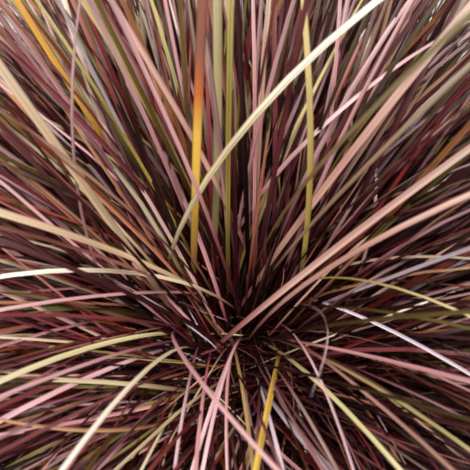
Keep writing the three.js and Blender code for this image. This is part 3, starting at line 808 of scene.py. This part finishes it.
SHEATHS_PER_SHOOT = 3
SHOOT_STEPS = 18
SHOOT_SIDES = 8
SHOOT_SEED = 5
LEAD_BROADER = 1.2  # the leading leaves against their width in the frame
FILL_NARROWER = 0.68  # the others
BROADER = 0.32  # how much broader than that the leaves of the sunnier side are, and narrower opposite
# Painted shade: the other leaves draw only from the darker variants. SHADED_SIDE and SHADE paint one side of
# the plant darker, as painted shade, and the side opposite lighter, as painted light.
FILL_VARIANTS = 24  # how many of the variants the others draw from, the darkest first
SHADED_SIDE = -25  # the way, in degrees, that the plant's darkest side faces
SHADE = 1.9  # how much darker the leaves are there, and lighter on the other side
SHEATH = dict(lean=(0, 3), droop=(2, 6), length=(19, 27), width=(3.2, 4.2))
SHEATH_VARIANT = 12
# Between which ends a shoot's leaves draw, and what its sheaths have.
SHOOT_DRAWS = dict(twist=(-50, 50, 0), roll=(-12, 12, 180), wander=(0.5, 2.5, 0))
BOX_TOLERANCE_MM = 4


def shoot_leaves(number, grown, common, rng):
    """A shoot's leaves and the rolled sheaths that they rise from, as arcs and attributes."""
    place = np.array([*shoot_places()[number][:2], ROOT_LEVEL_MM - SHOOT_SUNK_MM])
    mine = [leaf for leaf in grown if leaf["shoot"] == number]
    n, m = len(mine), SHEATHS_PER_SHOOT
    sheaths = {"azimuth": np.arange(m) * 360 / m + rng.uniform(0, 90), "sway": np.zeros(m)}
    sheaths |= {name: rng.uniform(*ends, m) for name, ends in SHEATH.items()}
    arcs = np.concatenate([[leaf["arc"] for leaf in mine], arcs_of(place, sheaths)])
    others = rng.choice([common, *COMMON_TONES], n)
    tones = [leaf["tone"] or other for leaf, other in zip(mine, others)] + ["husk"] * m
    leads = np.array([leaf["tone"] is not None for leaf in mine])
    azimuth, width = (np.array([leaf[name] for leaf in mine]) for name in ("azimuth", "width"))
    sunny = 1 + BROADER * np.sin(np.radians(azimuth))
    variant = rng.integers(np.where(leads, LIGHT_VARIANT, 0), np.where(leads, VARIANTS, FILL_VARIANTS))
    # Painted shade and light: the fill leaves draw darker variants toward the plant's shaded side, lighter
    # ones opposite.
    shaded = variant * SHADE ** (-np.cos(np.radians(azimuth - SHADED_SIDE)) / 2)
    variant = np.where(leads, variant, np.minimum(shaded, VARIANTS - 1))
    leaves = {
        name: np.append(rng.uniform(low, high, n), np.full(m, float(sheath)))
        for name, (low, high, sheath) in SHOOT_DRAWS.items()
    }
    leaves |= {
        "width": np.append(width * np.where(leads, LEAD_BROADER, FILL_NARROWER * sunny), sheaths["width"]),
        "curl": np.zeros(n + m),
        "chance": rng.uniform(0, 1, n + m),
        "variant": np.append(variant, np.full(m, SHEATH_VARIANT)),
        "tone": np.array([TONE_NAMES.index(tone) for tone in tones]),
    }
    return arcs, leaves


class SEDGE_OT_shoots(bpy.types.Operator):
    """Grow the leafy shoots, one piece for each shoot of the frame"""

    bl_idname = "sedge.shoots"
    bl_label = "Leafy shoots"

    def execute(self, context):
        settings = context.scene.sedge_leaves
        grown = FrameTuft().leaves
        rng = np.random.default_rng(SHOOT_SEED)
        for number in range(SHOOTS):
            common = COMMON_TONES[number % len(COMMON_TONES)]
            node = f"shoot_{number + 1:02d}"
            mesh = broad_blades(f"{node}_leaves", *shoot_leaves(number, grown, common, rng), settings)
            self.check_form(node, mesh)
            finished_piece(f"{node}_leaves", mesh, [node])
        return {"FINISHED"}

    @staticmethod
    def check_form(node, mesh):
        """Stops the script where the fine shoot doesn't fill the same box as the frame's."""
        low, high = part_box(node)
        points = np.array([v.co for v in mesh.vertices])
        off = max(np.abs(points.min(0) - low).max(), np.abs(points.max(0) - high).max())
        if off > BOX_TOLERANCE_MM * MM:
            raise RuntimeError(f"{node} is {off / MM:.1f} mm off its place in the frame")


# ---- Thin leaves ----

# What the thin leaves of each kind draw from: low and high ends, in degrees and millimetres. The pull is how
# far they turn at most to the sunnier side, where the plant is thicker. Tones are given with how common
# they are.
# The darkness of each kind is how strongly its leaves draw the darker variants: painted shade of the
# tussock's depth, strongest for the short leaves round the heart.
DOME = dict(
    seed=11, steps=10, ring=(0, 47), stray=(150, 36), pull=20, darkness=1.5,
    lean=(3, 32), outer_lean=44, sway=(-20, 20), droop=(25, 90), outer_droop=22,
    length=(210, 335), width=(0.8, 1.9), twist=(-65, 65), roll=(-30, 30), wander=(3, 14),
    curl=(0, 0), chance=(0, 1),
    tones=dict(wine=36, rose=16, shell=3, bronze=12, peach=8, russet=8, olive=10, tan=7, straw=1, lilac=0.8),
)
SKIRT = DOME | dict(
    seed=12, steps=9, ring=(30, 50), stray=(50, 28),
    lean=(34, 62), outer_lean=18, droop=(30, 85), outer_droop=8,
    length=(200, 330), width=(0.7, 1.3),
    tones=dict(wine=32, bronze=12, rose=21, shell=5, russet=6, tan=6, straw=2, olive=5, peach=4, lilac=3),
)
SHORT = DOME | dict(
    seed=13, steps=6, ring=(0, 49), stray=(170, 100), darkness=2.0,
    lean=(2, 40), outer_lean=38, droop=(5, 60), length=(60, 200), width=(0.6, 1.1),
    tones=dict(wine=46, rose=16, bronze=14, russet=12, olive=5, lilac=3, tan=4),
)
OLD = DOME | dict(
    seed=14, steps=18, ring=(10, 50), stray=(170, 90),
    lean=(25, 60), outer_lean=25, sway=(-70, 70), droop=(40, 130),
    length=(90, 260), width=(0.8, 1.5), twist=(-240, 240), wander=(20, 60), curl=(1, 9),
    tones=dict(straw=30, tan=25, husk=30, bronze=15),
)
FIBRES = DOME | dict(
    seed=15, steps=5, ring=(4, 50), stray=(180, 120),
    lean=(35, 80), outer_lean=8, sway=(-80, 80), droop=(10, 50), outer_droop=0,
    length=(12, 46), width=(0.5, 1.3), twist=(-200, 200), wander=(2, 8), curl=(0, 3),
    tones=dict(husk=1),
)
THIN_KINDS = dict(dome_leaves=DOME, skirt_leaves=SKIRT, short_leaves=SHORT, old_leaves=OLD)
THIN_DRAWS = ("lean", "sway", "droop", "length", "width", "twist", "roll", "wander", "curl", "chance")
THIN_ROOT_MM = 156
THIN_PARTING_MM = 116
BATCH = 4000
STRAY_SEED = 4
STRAY_VARIANTS = (18, 12)  # the first that they draw, and from how many
BOX_MARGIN_MM = 4


def thin_leaves(rule, count):
    """Draws leaves by a rule until so many have found a clear way. Gives their arcs and attributes."""
    rng = np.random.default_rng(rule["seed"])
    low, high = (np.array(corner) / MM for corner in cad_box)
    tones = [TONE_NAMES.index(tone) for tone in rule["tones"]]
    shares = np.array(list(rule["tones"].values())) / sum(rule["tones"].values())
    kept_arcs, kept = [], []
    while sum(map(len, kept_arcs)) < count:
        radius = np.sqrt(rng.uniform(rule["ring"][0] ** 2, rule["ring"][1] ** 2, BATCH))
        facing = rng.uniform(-180, 180, BATCH)
        outward = radius / CROWN_RADIUS_MM
        turn = np.radians(facing)
        places = np.stack([radius * np.cos(turn), radius * np.sin(turn), np.full(BATCH, THIN_ROOT_MM)], -1)
        stray = rule["stray"][0] + (rule["stray"][1] - rule["stray"][0]) * outward
        azimuth = facing + rng.uniform(-1, 1, BATCH) * stray
        leaves = {name: rng.uniform(*rule[name], BATCH) for name in THIN_DRAWS}
        leaves["azimuth"] = azimuth + rule["pull"] * np.cos(np.radians(azimuth))
        leaves["lean"] += rule["outer_lean"] * outward**2
        leaves["droop"] += rule["outer_droop"] * outward
        leaves["width"] *= 1 + BROADER * np.sin(np.radians(azimuth))
        # Painted shade and light: the thin leaves draw darker variants toward the plant's shaded side,
        # lighter ones opposite.
        darkness = rule["darkness"] * SHADE ** np.cos(np.radians(azimuth - SHADED_SIDE))
        leaves["variant"] = (VARIANTS * rng.uniform(0, 1, BATCH) ** darkness).astype(int)
        leaves["tone"] = rng.choice(tones, BATCH, p=shares)
        arcs = arcs_of(places, leaves)
        lifted = arcs.copy()
        lifted[:, :, 2] += ROOT_LEVEL_MM - THIN_ROOT_MM
        room = BOX_MARGIN_MM + leaves["wander"][:, None] / 2 + leaves["curl"][:, None]
        points = points_on(arcs, CHECK_POINTS)
        inside = ((points.min(1) > low + room) & (points.max(1) < high - room)).all(-1)
        fit = keep_clear(lifted, THIN_PARTING_MM) & inside
        kept_arcs.append(arcs[fit])
        kept.append({key: values[fit] for key, values in leaves.items()})
    leaves = {key: np.concatenate([part[key] for part in kept])[:count] for key in kept[0]}
    return np.concatenate(kept_arcs)[:count], leaves


def stray_leaves():
    """The single leaves that stand out. Gives their arcs and attributes."""
    rng = np.random.default_rng(STRAY_SEED)
    twist, roll, wander, chance, light = rng.uniform(size=(len(STRAY_LEAVES), 5)).T
    shapes = np.array([shape for _, _, *shape in STRAY_LEAVES], float)
    leaves = dict(zip(LEAF_SHAPE, shapes.T))
    leaves |= {
        "twist": 100 * (twist - 0.5),
        "roll": 24 * (roll - 0.5),
        "wander": 0.5 + 2 * wander,
        "curl": np.zeros(len(twist)),
        "chance": chance,
        "variant": STRAY_VARIANTS[0] + (STRAY_VARIANTS[1] * light).astype(int),
        "tone": np.array([TONE_NAMES.index(tone) for tone, *_ in STRAY_LEAVES]),
    }
    return arcs_of(shoot_places()[[shoot for _, shoot, *_ in STRAY_LEAVES]], leaves), leaves


def add_thin_leaves(kind, rule, count, settings):
    """Grows one piece of thin leaves for each tone of the rule."""
    arcs, leaves = thin_leaves(rule, count)
    for tone in rule["tones"]:
        chosen = leaves["tone"] == TONE_NAMES.index(tone)
        if chosen.any():
            mine = {key: values[chosen] for key, values in leaves.items()}
            mesh = blades_mesh(f"{kind}_{tone}", arcs[chosen], mine, settings, Steps=rule["steps"])
            finished_piece(f"{kind}_{tone}", mesh)


class SEDGE_OT_thin_leaves(bpy.types.Operator):
    """Grow the thin leaves between the shoots, one piece for each kind and tone"""

    bl_idname = "sedge.thin_leaves"
    bl_label = "Thin leaves"

    def execute(self, context):
        settings = context.scene.sedge_leaves
        finished_piece("stray_leaves", broad_blades("stray_leaves", *stray_leaves(), settings))
        for kind, rule in THIN_KINDS.items():
            add_thin_leaves(kind, rule, getattr(settings, kind), settings)
        return {"FINISHED"}


# ---- Pot, soil and root crown ----

POT_TAPER = (POT_TOP_RADIUS_MM - POT_FOOT_RADIUS_MM) / POT_HEIGHT_MM
EASE_STEPS = 4
EASE_SHARE = 0.48  # the largest share of a stretch that the rounding at one of its ends takes up
DRILL_SIDES = 32
DRILL_PAST_MM = 2
SHARP_ANGLE = 35  # degrees
PEAT_DUST = "#6d5a49"
# Painted shade: the near-black colour of the peat's hollows.
PEAT_HOLLOW_SHADE = "#120b08"
BARK_EDGE = "#2c1b12"
# The root crown's colour, and the darker colour painted as shade in its hollows.
CROWN_COLOURS = ("#3a241a", "#140b09")
CROWN_LUMPS_MM = 9
PEAT_LUMPS_MM = 5
CRUMB_SEED = 21
CRUMB_MARGIN_MM = (1, 2)  # how far they keep off the crown and the wall
CRUMB_LIFT_MM = (-0.4, 0.8)
CRUMB_SIZE_MM = (0.5, 1.6)
CRUMB_STRETCH = (0.6, 1.4)
CRUMB_TILT = 0.6  # radians
SOIL_RINGS = 15
CROWN_RINGS = 16
CRUMB_LUMPINESS = 0.5
CRUMB_REACH = 0.004  # how far, at a lumpiness of 1, its noise moves a crumb's skin
BARK_SHARE = 0.35
BARK_STRETCH = (1.7, 0.9, 0.5)
EDGE_MM = 1  # the soil and the crown keep their plain form so near to what they meet
# The breadth and height of the waves on each, in millimetres, and how deep the crown's lie.
SOIL_WAVES = ((7, 1.6), (2.5, 0.7))
CROWN_WAVES = ((8, 0.5), (3, 0.3))
CROWN_SUNK_MM = 0.6


def waves(place, sizes):
    return sum(noise.noise(place / breadth) * height for breadth, height in sizes)


def wall_radius(height):
    return POT_FOOT_RADIUS_MM + POT_TAPER * height


def eased(points):
    """Rounds the corners of a profile, each given by radius, height and easing in millimetres."""
    out = []
    for i, (*corner, ease) in enumerate(points):
        corner = np.array(corner, float)
        if not ease:
            out.append(corner)
            continue
        before, after = np.array(points[i - 1][:2], float), np.array(points[i + 1][:2], float)
        start, end = (
            corner + (other - corner) * min(ease / np.linalg.norm(other - corner), EASE_SHARE)
            for other in (before, after)
        )
        for t in np.linspace(0, 1, EASE_STEPS + 1):
            out.append((1 - t) ** 2 * start + 2 * t * (1 - t) * corner + t * t * end)
    return out


def turned_mesh(name, profile, sides, shift=None):
    """A closed surface of revolution from points that run up its outside, each a radius and a height in
    millimetres. A shift moves each point by what it gives for the point's place."""
    vertices, rings = [], []
    for radius, height in profile:
        count = sides if radius > 0 else 1
        rings.append(range(len(vertices), len(vertices) + count))
        for k in range(count):
            turn = 2 * math.pi * k / sides
            place = Vector((radius * math.cos(turn), radius * math.sin(turn), height))
            vertices.append((place + shift(place) if shift else place) * MM)
    faces = []
    for low, high in zip(rings, rings[1:]):
        for k in range(sides):
            after = (k + 1) % sides
            a, b = low[k % len(low)], low[after % len(low)]
            c, d = high[after % len(high)], high[k % len(high)]
            faces.append([v for i, v in enumerate((a, b, c, d)) if v not in (a, b, c, d)[:i]])
    mesh = bpy.data.meshes.new(name)
    mesh.from_pydata(vertices, [], faces)
    mesh.shade_smooth()
    return mesh


def plastic_material(colour):
    """Polypropylene, injection-moulded against an eroded mould. Gives the eye a dull black satin with dried
    peat dust on the lip and faint rubs on the wall."""
    material, tree, shader = new_material("moulded_polypropylene", Roughness=0.5)
    place = add(tree, "ShaderNodeTexCoord").node.outputs["Object"]
    height = add(tree, SPLIT, None, place).node.outputs["Z"]
    dust = add(tree, NOISE, Vector=place, Scale=60.0, Detail=5.0)
    high = add(tree, RANGE, None, height, 0.1, POT_HEIGHT_MM * MM, 0.0, 0.55)
    share = add(tree, MATH, "MULTIPLY", add(tree, RANGE, None, dust, 0.45, 0.75), high)
    colour = add(tree, MIX, COLOURS, Factor=share, A=colour, B=linear(PEAT_DUST))
    tree.links.new(colour, shader.inputs["Base Color"])
    grain = add(tree, NOISE, Vector=place, Scale=1800.0, Detail=2.0)
    bump = add(tree, "ShaderNodeBump", Strength=0.25, Distance=0.0002, Height=grain)
    tree.links.new(bump, shader.inputs["Normal"])
    return material


def ground_material(name, colour, other, size_mm):
    """Damp peat or shredded bark, loose. Gives the eye a dull, broken brown mottled with a darker colour,
    which on the peat and the root crown is painted shade of the hollows between clumps.
    """
    material, tree, shader = new_material(name, Roughness=0.9)
    place = add(tree, "ShaderNodeTexCoord").node.outputs["Object"]
    clumps = add(tree, NOISE, Vector=place, Scale=1 / (size_mm * MM), Detail=4.0, Roughness=0.65)
    share = add(tree, RANGE, None, clumps, 0.3, 0.7)
    mixed = add(tree, MIX, COLOURS, Factor=share, A=other, B=colour)
    tree.links.new(mixed, shader.inputs["Base Color"])
    return material


CRUMB_INPUTS = (("Lumpiness", "NodeSocketFloat", CRUMB_LUMPINESS),)
CRUMB_ATTRIBUTES = dict(turn="FLOAT_VECTOR", size="FLOAT_VECTOR", bark="INT")


def crumb_tree(materials):
    """Crumbs of peat and bark: each point of the cloud becomes a lumpy grain, sized and turned by the
    point's attributes."""
    tree, given, own = new_tree("Soil crumbs", "Places", CRUMB_INPUTS, "Crumbs", CRUMB_ATTRIBUTES)
    grain = add(tree, "GeometryNodeMeshIcoSphere", Radius=1.0, Subdivisions=1)
    placed = {"Points": given["Places"], "Rotation": own["turn"], "Scale": own["size"]}
    crumbs = add(tree, REALIZE, None, add(tree, SCATTER, Instance=grain, **placed))
    lumps = add(tree, NOISE, Scale=700.0, Detail=0.0).node.outputs["Color"]
    lumps = add(tree, VECTOR, "SUBTRACT", lumps, (0.5, 0.5, 0.5))
    reach = add(tree, MATH, "MULTIPLY", given["Lumpiness"], CRUMB_REACH)
    lumps = add(tree, VECTOR, "SCALE", lumps, Scale=reach)
    crumbs = add(tree, "GeometryNodeSetPosition", Geometry=crumbs, Offset=lumps)
    crumbs = add(tree, COAT, Geometry=crumbs, Material=materials[0])
    bark = add(tree, COMPARE, SAME_NUMBER, own["bark"], 1)
    crumbs = add(tree, COAT, Geometry=crumbs, Selection=bark, Material=materials[1])
    tree.links.new(crumbs, tree.nodes.new("NodeGroupOutput").inputs[0])
    return tree


class SEDGE_OT_pot(bpy.types.Operator):
    """Mould the nursery pot, with its rolled lip and drain holes"""

    bl_idname = "sedge.pot"
    bl_label = "Pot"

    def execute(self, context):
        settings = context.scene.sedge_pot
        lip_foot = POT_HEIGHT_MM - LIP_DEPTH_MM
        lip = POT_TOP_RADIUS_MM + LIP_PROUD_MM
        inside_top = wall_radius(POT_HEIGHT_MM) - POT_WALL_MM
        inside_foot = wall_radius(POT_FLOOR_MM) - POT_WALL_MM
        corners = (
            (0, 0, 0),
            (POT_FOOT_RADIUS_MM, 0, 1.5),
            (wall_radius(lip_foot), lip_foot, 1.2),
            (lip, lip_foot, 2.2),
            (lip, POT_HEIGHT_MM, 2.2),
            (inside_top, POT_HEIGHT_MM, 2.0),
            (inside_foot, POT_FLOOR_MM, 2.5),
            (0, POT_FLOOR_MM, 0),
        )
        mesh = turned_mesh("pot_moulding", eased(corners), settings.turns)
        mesh.materials.append(plastic_material(settings.plastic))
        self.drill(finished_piece("pot_moulding", mesh, ["pot"]))
        return {"FINISHED"}

    @staticmethod
    def drill(pot):
        """Cuts the drain holes through the floor."""
        vertices, faces = [], []
        for hole in range(DRAIN_HOLES):
            way = 2 * math.pi * hole / DRAIN_HOLES
            low = range(len(vertices), len(vertices) + DRILL_SIDES)
            high = [k + DRILL_SIDES for k in low]
            for height in (-DRILL_PAST_MM, POT_FLOOR_MM + DRILL_PAST_MM):
                for k in range(DRILL_SIDES):
                    turn = 2 * math.pi * k / DRILL_SIDES
                    x = DRAIN_CIRCLE_MM * math.cos(way) + DRAIN_RADIUS_MM * math.cos(turn)
                    y = DRAIN_CIRCLE_MM * math.sin(way) + DRAIN_RADIUS_MM * math.sin(turn)
                    vertices.append((x * MM, y * MM, height * MM))
            faces += [low[::-1], high]
            faces += [(low[k - 1], low[k], high[k], high[k - 1]) for k in range(DRILL_SIDES)]
        rods = bpy.data.meshes.new("drill")
        rods.from_pydata(vertices, [], faces)
        drill = new_object("drill", rods)
        cut = pot.modifiers.new("Drain holes", "BOOLEAN")
        cut.operation = "DIFFERENCE"
        cut.solver = "EXACT"
        cut.object = drill
        pot.data = settled_mesh(pot)
        pot.data.set_sharp_from_angle(angle=math.radians(SHARP_ANGLE))
        bpy.data.objects.remove(drill)


class SEDGE_OT_soil(bpy.types.Operator):
    """Fill the pot with peat and scatter crumbs of peat and bark on it"""

    bl_idname = "sedge.soil"
    bl_label = "Soil"

    def execute(self, context):
        settings = context.scene.sedge_pot
        peat = ground_material("damp_peat", settings.peat, linear(PEAT_HOLLOW_SHADE), PEAT_LUMPS_MM)
        bark = ground_material("shredded_bark", settings.bark, linear(BARK_EDGE), PEAT_LUMPS_MM)
        foot = POT_FLOOR_MM + FIT_GAP_MM
        edge = SOIL_LEVEL_MM - SOIL_DISH_MM
        hollow = CROWN_RADIUS_MM + FIT_GAP_MM
        rim = wall_radius(edge) - POT_WALL_MM - FIT_GAP_MM
        top = [(rim + (hollow - rim) * t, edge + SOIL_DISH_MM * t) for t in np.linspace(0, 1, SOIL_RINGS)]
        bottom = CROWN_FOOT_MM - FIT_GAP_MM
        profile = [(0, foot), (wall_radius(foot) - POT_WALL_MM - FIT_GAP_MM, foot), *top]
        profile += [(CROWN_FOOT_RADIUS_MM + FIT_GAP_MM, bottom), (0, bottom)]
        mesh = turned_mesh("soil_bed", profile, settings.turns, self.lumps)
        mesh.materials.append(peat)
        finished_piece("soil_bed", mesh, ["soil"])
        rng = np.random.default_rng(CRUMB_SEED)
        count = settings.crumbs
        nearest, furthest = hollow + CRUMB_MARGIN_MM[0], rim - CRUMB_MARGIN_MM[1]
        radius = np.sqrt(rng.uniform(nearest**2, furthest**2, count))
        turn = rng.uniform(0, 2 * math.pi, count)
        height = edge + SOIL_DISH_MM * (rim - radius) / (rim - hollow) + rng.uniform(*CRUMB_LIFT_MM, count)
        places = np.stack([radius * np.cos(turn), radius * np.sin(turn), height], -1) * MM
        barky = rng.random(count) < BARK_SHARE
        size = rng.uniform(*CRUMB_SIZE_MM, (count, 1)) * rng.uniform(*CRUMB_STRETCH, (count, 3))
        size[barky] *= BARK_STRETCH
        turned = rng.uniform(-CRUMB_TILT, CRUMB_TILT, (count, 3))
        turned = turned + np.array([0, 0, 1]) * rng.uniform(0, 6, (count, 1))
        attributes = {"size": size * MM, "turn": turned, "bark": barky.astype(int)}
        lumpiness = {"Lumpiness": CRUMB_LUMPINESS}
        mesh = evaluated_mesh("soil_crumbs", places, attributes, crumb_tree((peat, bark)), lumpiness)
        finished_piece("soil_crumbs", mesh)
        return {"FINISHED"}

    @staticmethod
    def lumps(place):
        """Raises and sinks the soil's open top a little, but not where it meets the pot or the crown."""
        radius = math.hypot(place.x, place.y)
        open_top = place.z > SOIL_LEVEL_MM - SOIL_DISH_MM + 0.1 and radius > CROWN_RADIUS_MM + EDGE_MM
        return Vector((0, 0, waves(place, SOIL_WAVES) if open_top else 0))


class SEDGE_OT_root_crown(bpy.types.Operator):
    """Shape the knotted root crown and the loose fibres of old sheaths on it"""

    bl_idname = "sedge.root_crown"
    bl_label = "Root crown"

    def execute(self, context):
        settings = context.scene.sedge_pot
        waist = CROWN_FOOT_MM + CROWN_RADIUS_MM - CROWN_FOOT_RADIUS_MM
        shoulder = CROWN_TOP_MM - CROWN_SHOULDER_MM
        lid = [(r, CROWN_TOP_MM) for r in np.linspace(CROWN_RADIUS_MM - CROWN_SHOULDER_MM, 0, CROWN_RINGS)]
        profile = [
            (0, CROWN_FOOT_MM),
            (CROWN_FOOT_RADIUS_MM, CROWN_FOOT_MM),
            (CROWN_RADIUS_MM, waist),
            (CROWN_RADIUS_MM, (waist + shoulder) / 2),
            (CROWN_RADIUS_MM, shoulder),
            (CROWN_RADIUS_MM - CROWN_SHOULDER_MM * 0.2, CROWN_TOP_MM - CROWN_SHOULDER_MM * 0.55),
            (CROWN_RADIUS_MM - CROWN_SHOULDER_MM * 0.5, CROWN_TOP_MM - CROWN_SHOULDER_MM * 0.25),
            *lid,
        ]
        mesh = turned_mesh("crown_knot", profile, settings.turns, self.knots)
        # The darker of the two is painted shade of the crown's hollows.
        colour, hollow = (linear(code) for code in CROWN_COLOURS)
        mesh.materials.append(ground_material("knotted_roots", colour, hollow, CROWN_LUMPS_MM))
        finished_piece("crown_knot", mesh, ["root_crown"])
        add_thin_leaves("crown_fibres", FIBRES, settings.fibres, context.scene.sedge_leaves)
        return {"FINISHED"}

    @staticmethod
    def knots(place):
        """Pushes the crown in and out in knots, never past its own box."""
        if place.z < CROWN_FOOT_MM + EDGE_MM:
            return Vector((0, 0, 0))
        depth = waves(place, CROWN_WAVES) - CROWN_SUNK_MM
        top = CROWN_TOP_MM - EDGE_MM
        inward = Vector((place.x, place.y, 0)).normalized() * (1 if place.z < top else 0)
        return inward * depth + Vector((0, 0, depth * 1.5 if place.z > top else 0))


# ---- Stage ----

CAMERA_PLACE_MM = (-1.1, -71.3, 373.4)
CAMERA_DOWN = 58  # degrees under the horizon
CAMERA_FIELD = 60  # degrees across the picture
CAMERA_SENSOR_MM = 36
FOCUS_MM = 280
NEAREST_MM = 2
ROOM_COLOUR = "#eff1f6"
FLOOR_SIZE = 80.0
LIGHT_FROM = (0.3, 0.1, 1.55)
LIGHT_BREADTH = 38  # degrees


class SEDGE_OT_stage(bpy.types.Operator):
    """Set the floor, the lights and the camera"""

    bl_idname = "sedge.stage"
    bl_label = "Stage"

    def execute(self, context):
        settings = context.scene.sedge_stage
        scene = context.scene
        data = bpy.data.cameras.new("camera")
        data.sensor_width = CAMERA_SENSOR_MM
        data.lens = data.sensor_width / 2 / math.tan(math.radians(CAMERA_FIELD / 2))
        data.clip_start = NEAREST_MM * MM
        data.dof.use_dof = True
        data.dof.focus_distance = FOCUS_MM * MM
        data.dof.aperture_fstop = settings.f_stop
        camera = new_object("camera", data)
        camera.location = Vector(CAMERA_PLACE_MM) * MM
        camera.rotation_euler = (math.radians(90 - CAMERA_DOWN), 0, 0)
        scene.camera = camera
        self.make_floor(settings)
        self.make_light(settings)
        world = bpy.data.worlds.new("room")
        world.use_nodes = True
        background = next(n for n in world.node_tree.nodes if n.type == "BACKGROUND")
        background.inputs["Color"].default_value = linear(ROOM_COLOUR)
        seen = add(world.node_tree, "ShaderNodeLightPath").node.outputs["Is Camera Ray"]
        level = add(world.node_tree, MIX, Factor=seen, A=settings.world, B=settings.backdrop)
        world.node_tree.links.new(level, background.inputs["Strength"])
        scene.world = world
        scene.view_settings.view_transform = "Standard"
        return {"FINISHED"}

    @staticmethod
    def make_floor(settings):
        half = FLOOR_SIZE / 2
        mesh = bpy.data.meshes.new("floor")
        corners = [(-half, -half, 0), (half, -half, 0), (half, half, 0), (-half, half, 0)]
        mesh.from_pydata(corners, [], [(0, 1, 2, 3)])
        material, _, shader = new_material("plain_floor", Roughness=0.8)
        shader.inputs["Base Color"].default_value = settings.floor
        mesh.materials.append(material)
        new_object("floor", mesh)

    @staticmethod
    def make_light(settings):
        """A light as broad and as even as a ceiling of diffusers."""
        data = bpy.data.lights.new("overhead_light", "SUN")
        data.angle = math.radians(LIGHT_BREADTH)
        data.energy = settings.overhead
        light = new_object("overhead_light", data)
        light.rotation_euler = Vector(LIGHT_FROM).to_track_quat("Z", "Y").to_euler()


# ---- Panel and registration ----

GROUPS = dict(sedge_leaves=SedgeLeafSettings, sedge_pot=SedgePotSettings, sedge_stage=SedgeStageSettings)
OPERATORS = (
    SEDGE_OT_stage,
    SEDGE_OT_pot,
    SEDGE_OT_soil,
    SEDGE_OT_root_crown,
    SEDGE_OT_shoots,
    SEDGE_OT_thin_leaves,
)


class SEDGE_PT_panel(bpy.types.Panel):
    """Lists the pieces of the potted sedge"""

    bl_idname = "SEDGE_PT_panel"
    bl_label = "Potted sedge"
    bl_space_type = "VIEW_3D"
    bl_region_type = "UI"
    bl_category = "Sedge"

    def draw(self, context):
        for operator in OPERATORS:
            self.layout.operator(operator.bl_idname)
        for group in (getattr(context.scene, key) for key in GROUPS):
            box = self.layout.box()
            for name in group.bl_rna.properties.keys():
                if name not in ("rna_type", "name"):
                    box.prop(group, name)


CLASSES = (*GROUPS.values(), *OPERATORS, SEDGE_PT_panel)


def register():
    for cls in CLASSES:
        bpy.utils.register_class(cls)
    for key, group in GROUPS.items():
        setattr(bpy.types.Scene, key, bpy.props.PointerProperty(type=group))


def unregister():
    for key in GROUPS:
        delattr(bpy.types.Scene, key)
    for cls in reversed(CLASSES):
        bpy.utils.unregister_class(cls)


def main():
    register()
    bpy.ops.sedge.stage()
    bpy.ops.sedge.pot()
    bpy.ops.sedge.soil()
    bpy.ops.sedge.root_crown()
    bpy.ops.sedge.shoots()
    bpy.ops.sedge.thin_leaves()


if __name__ == "__main__":
    main()
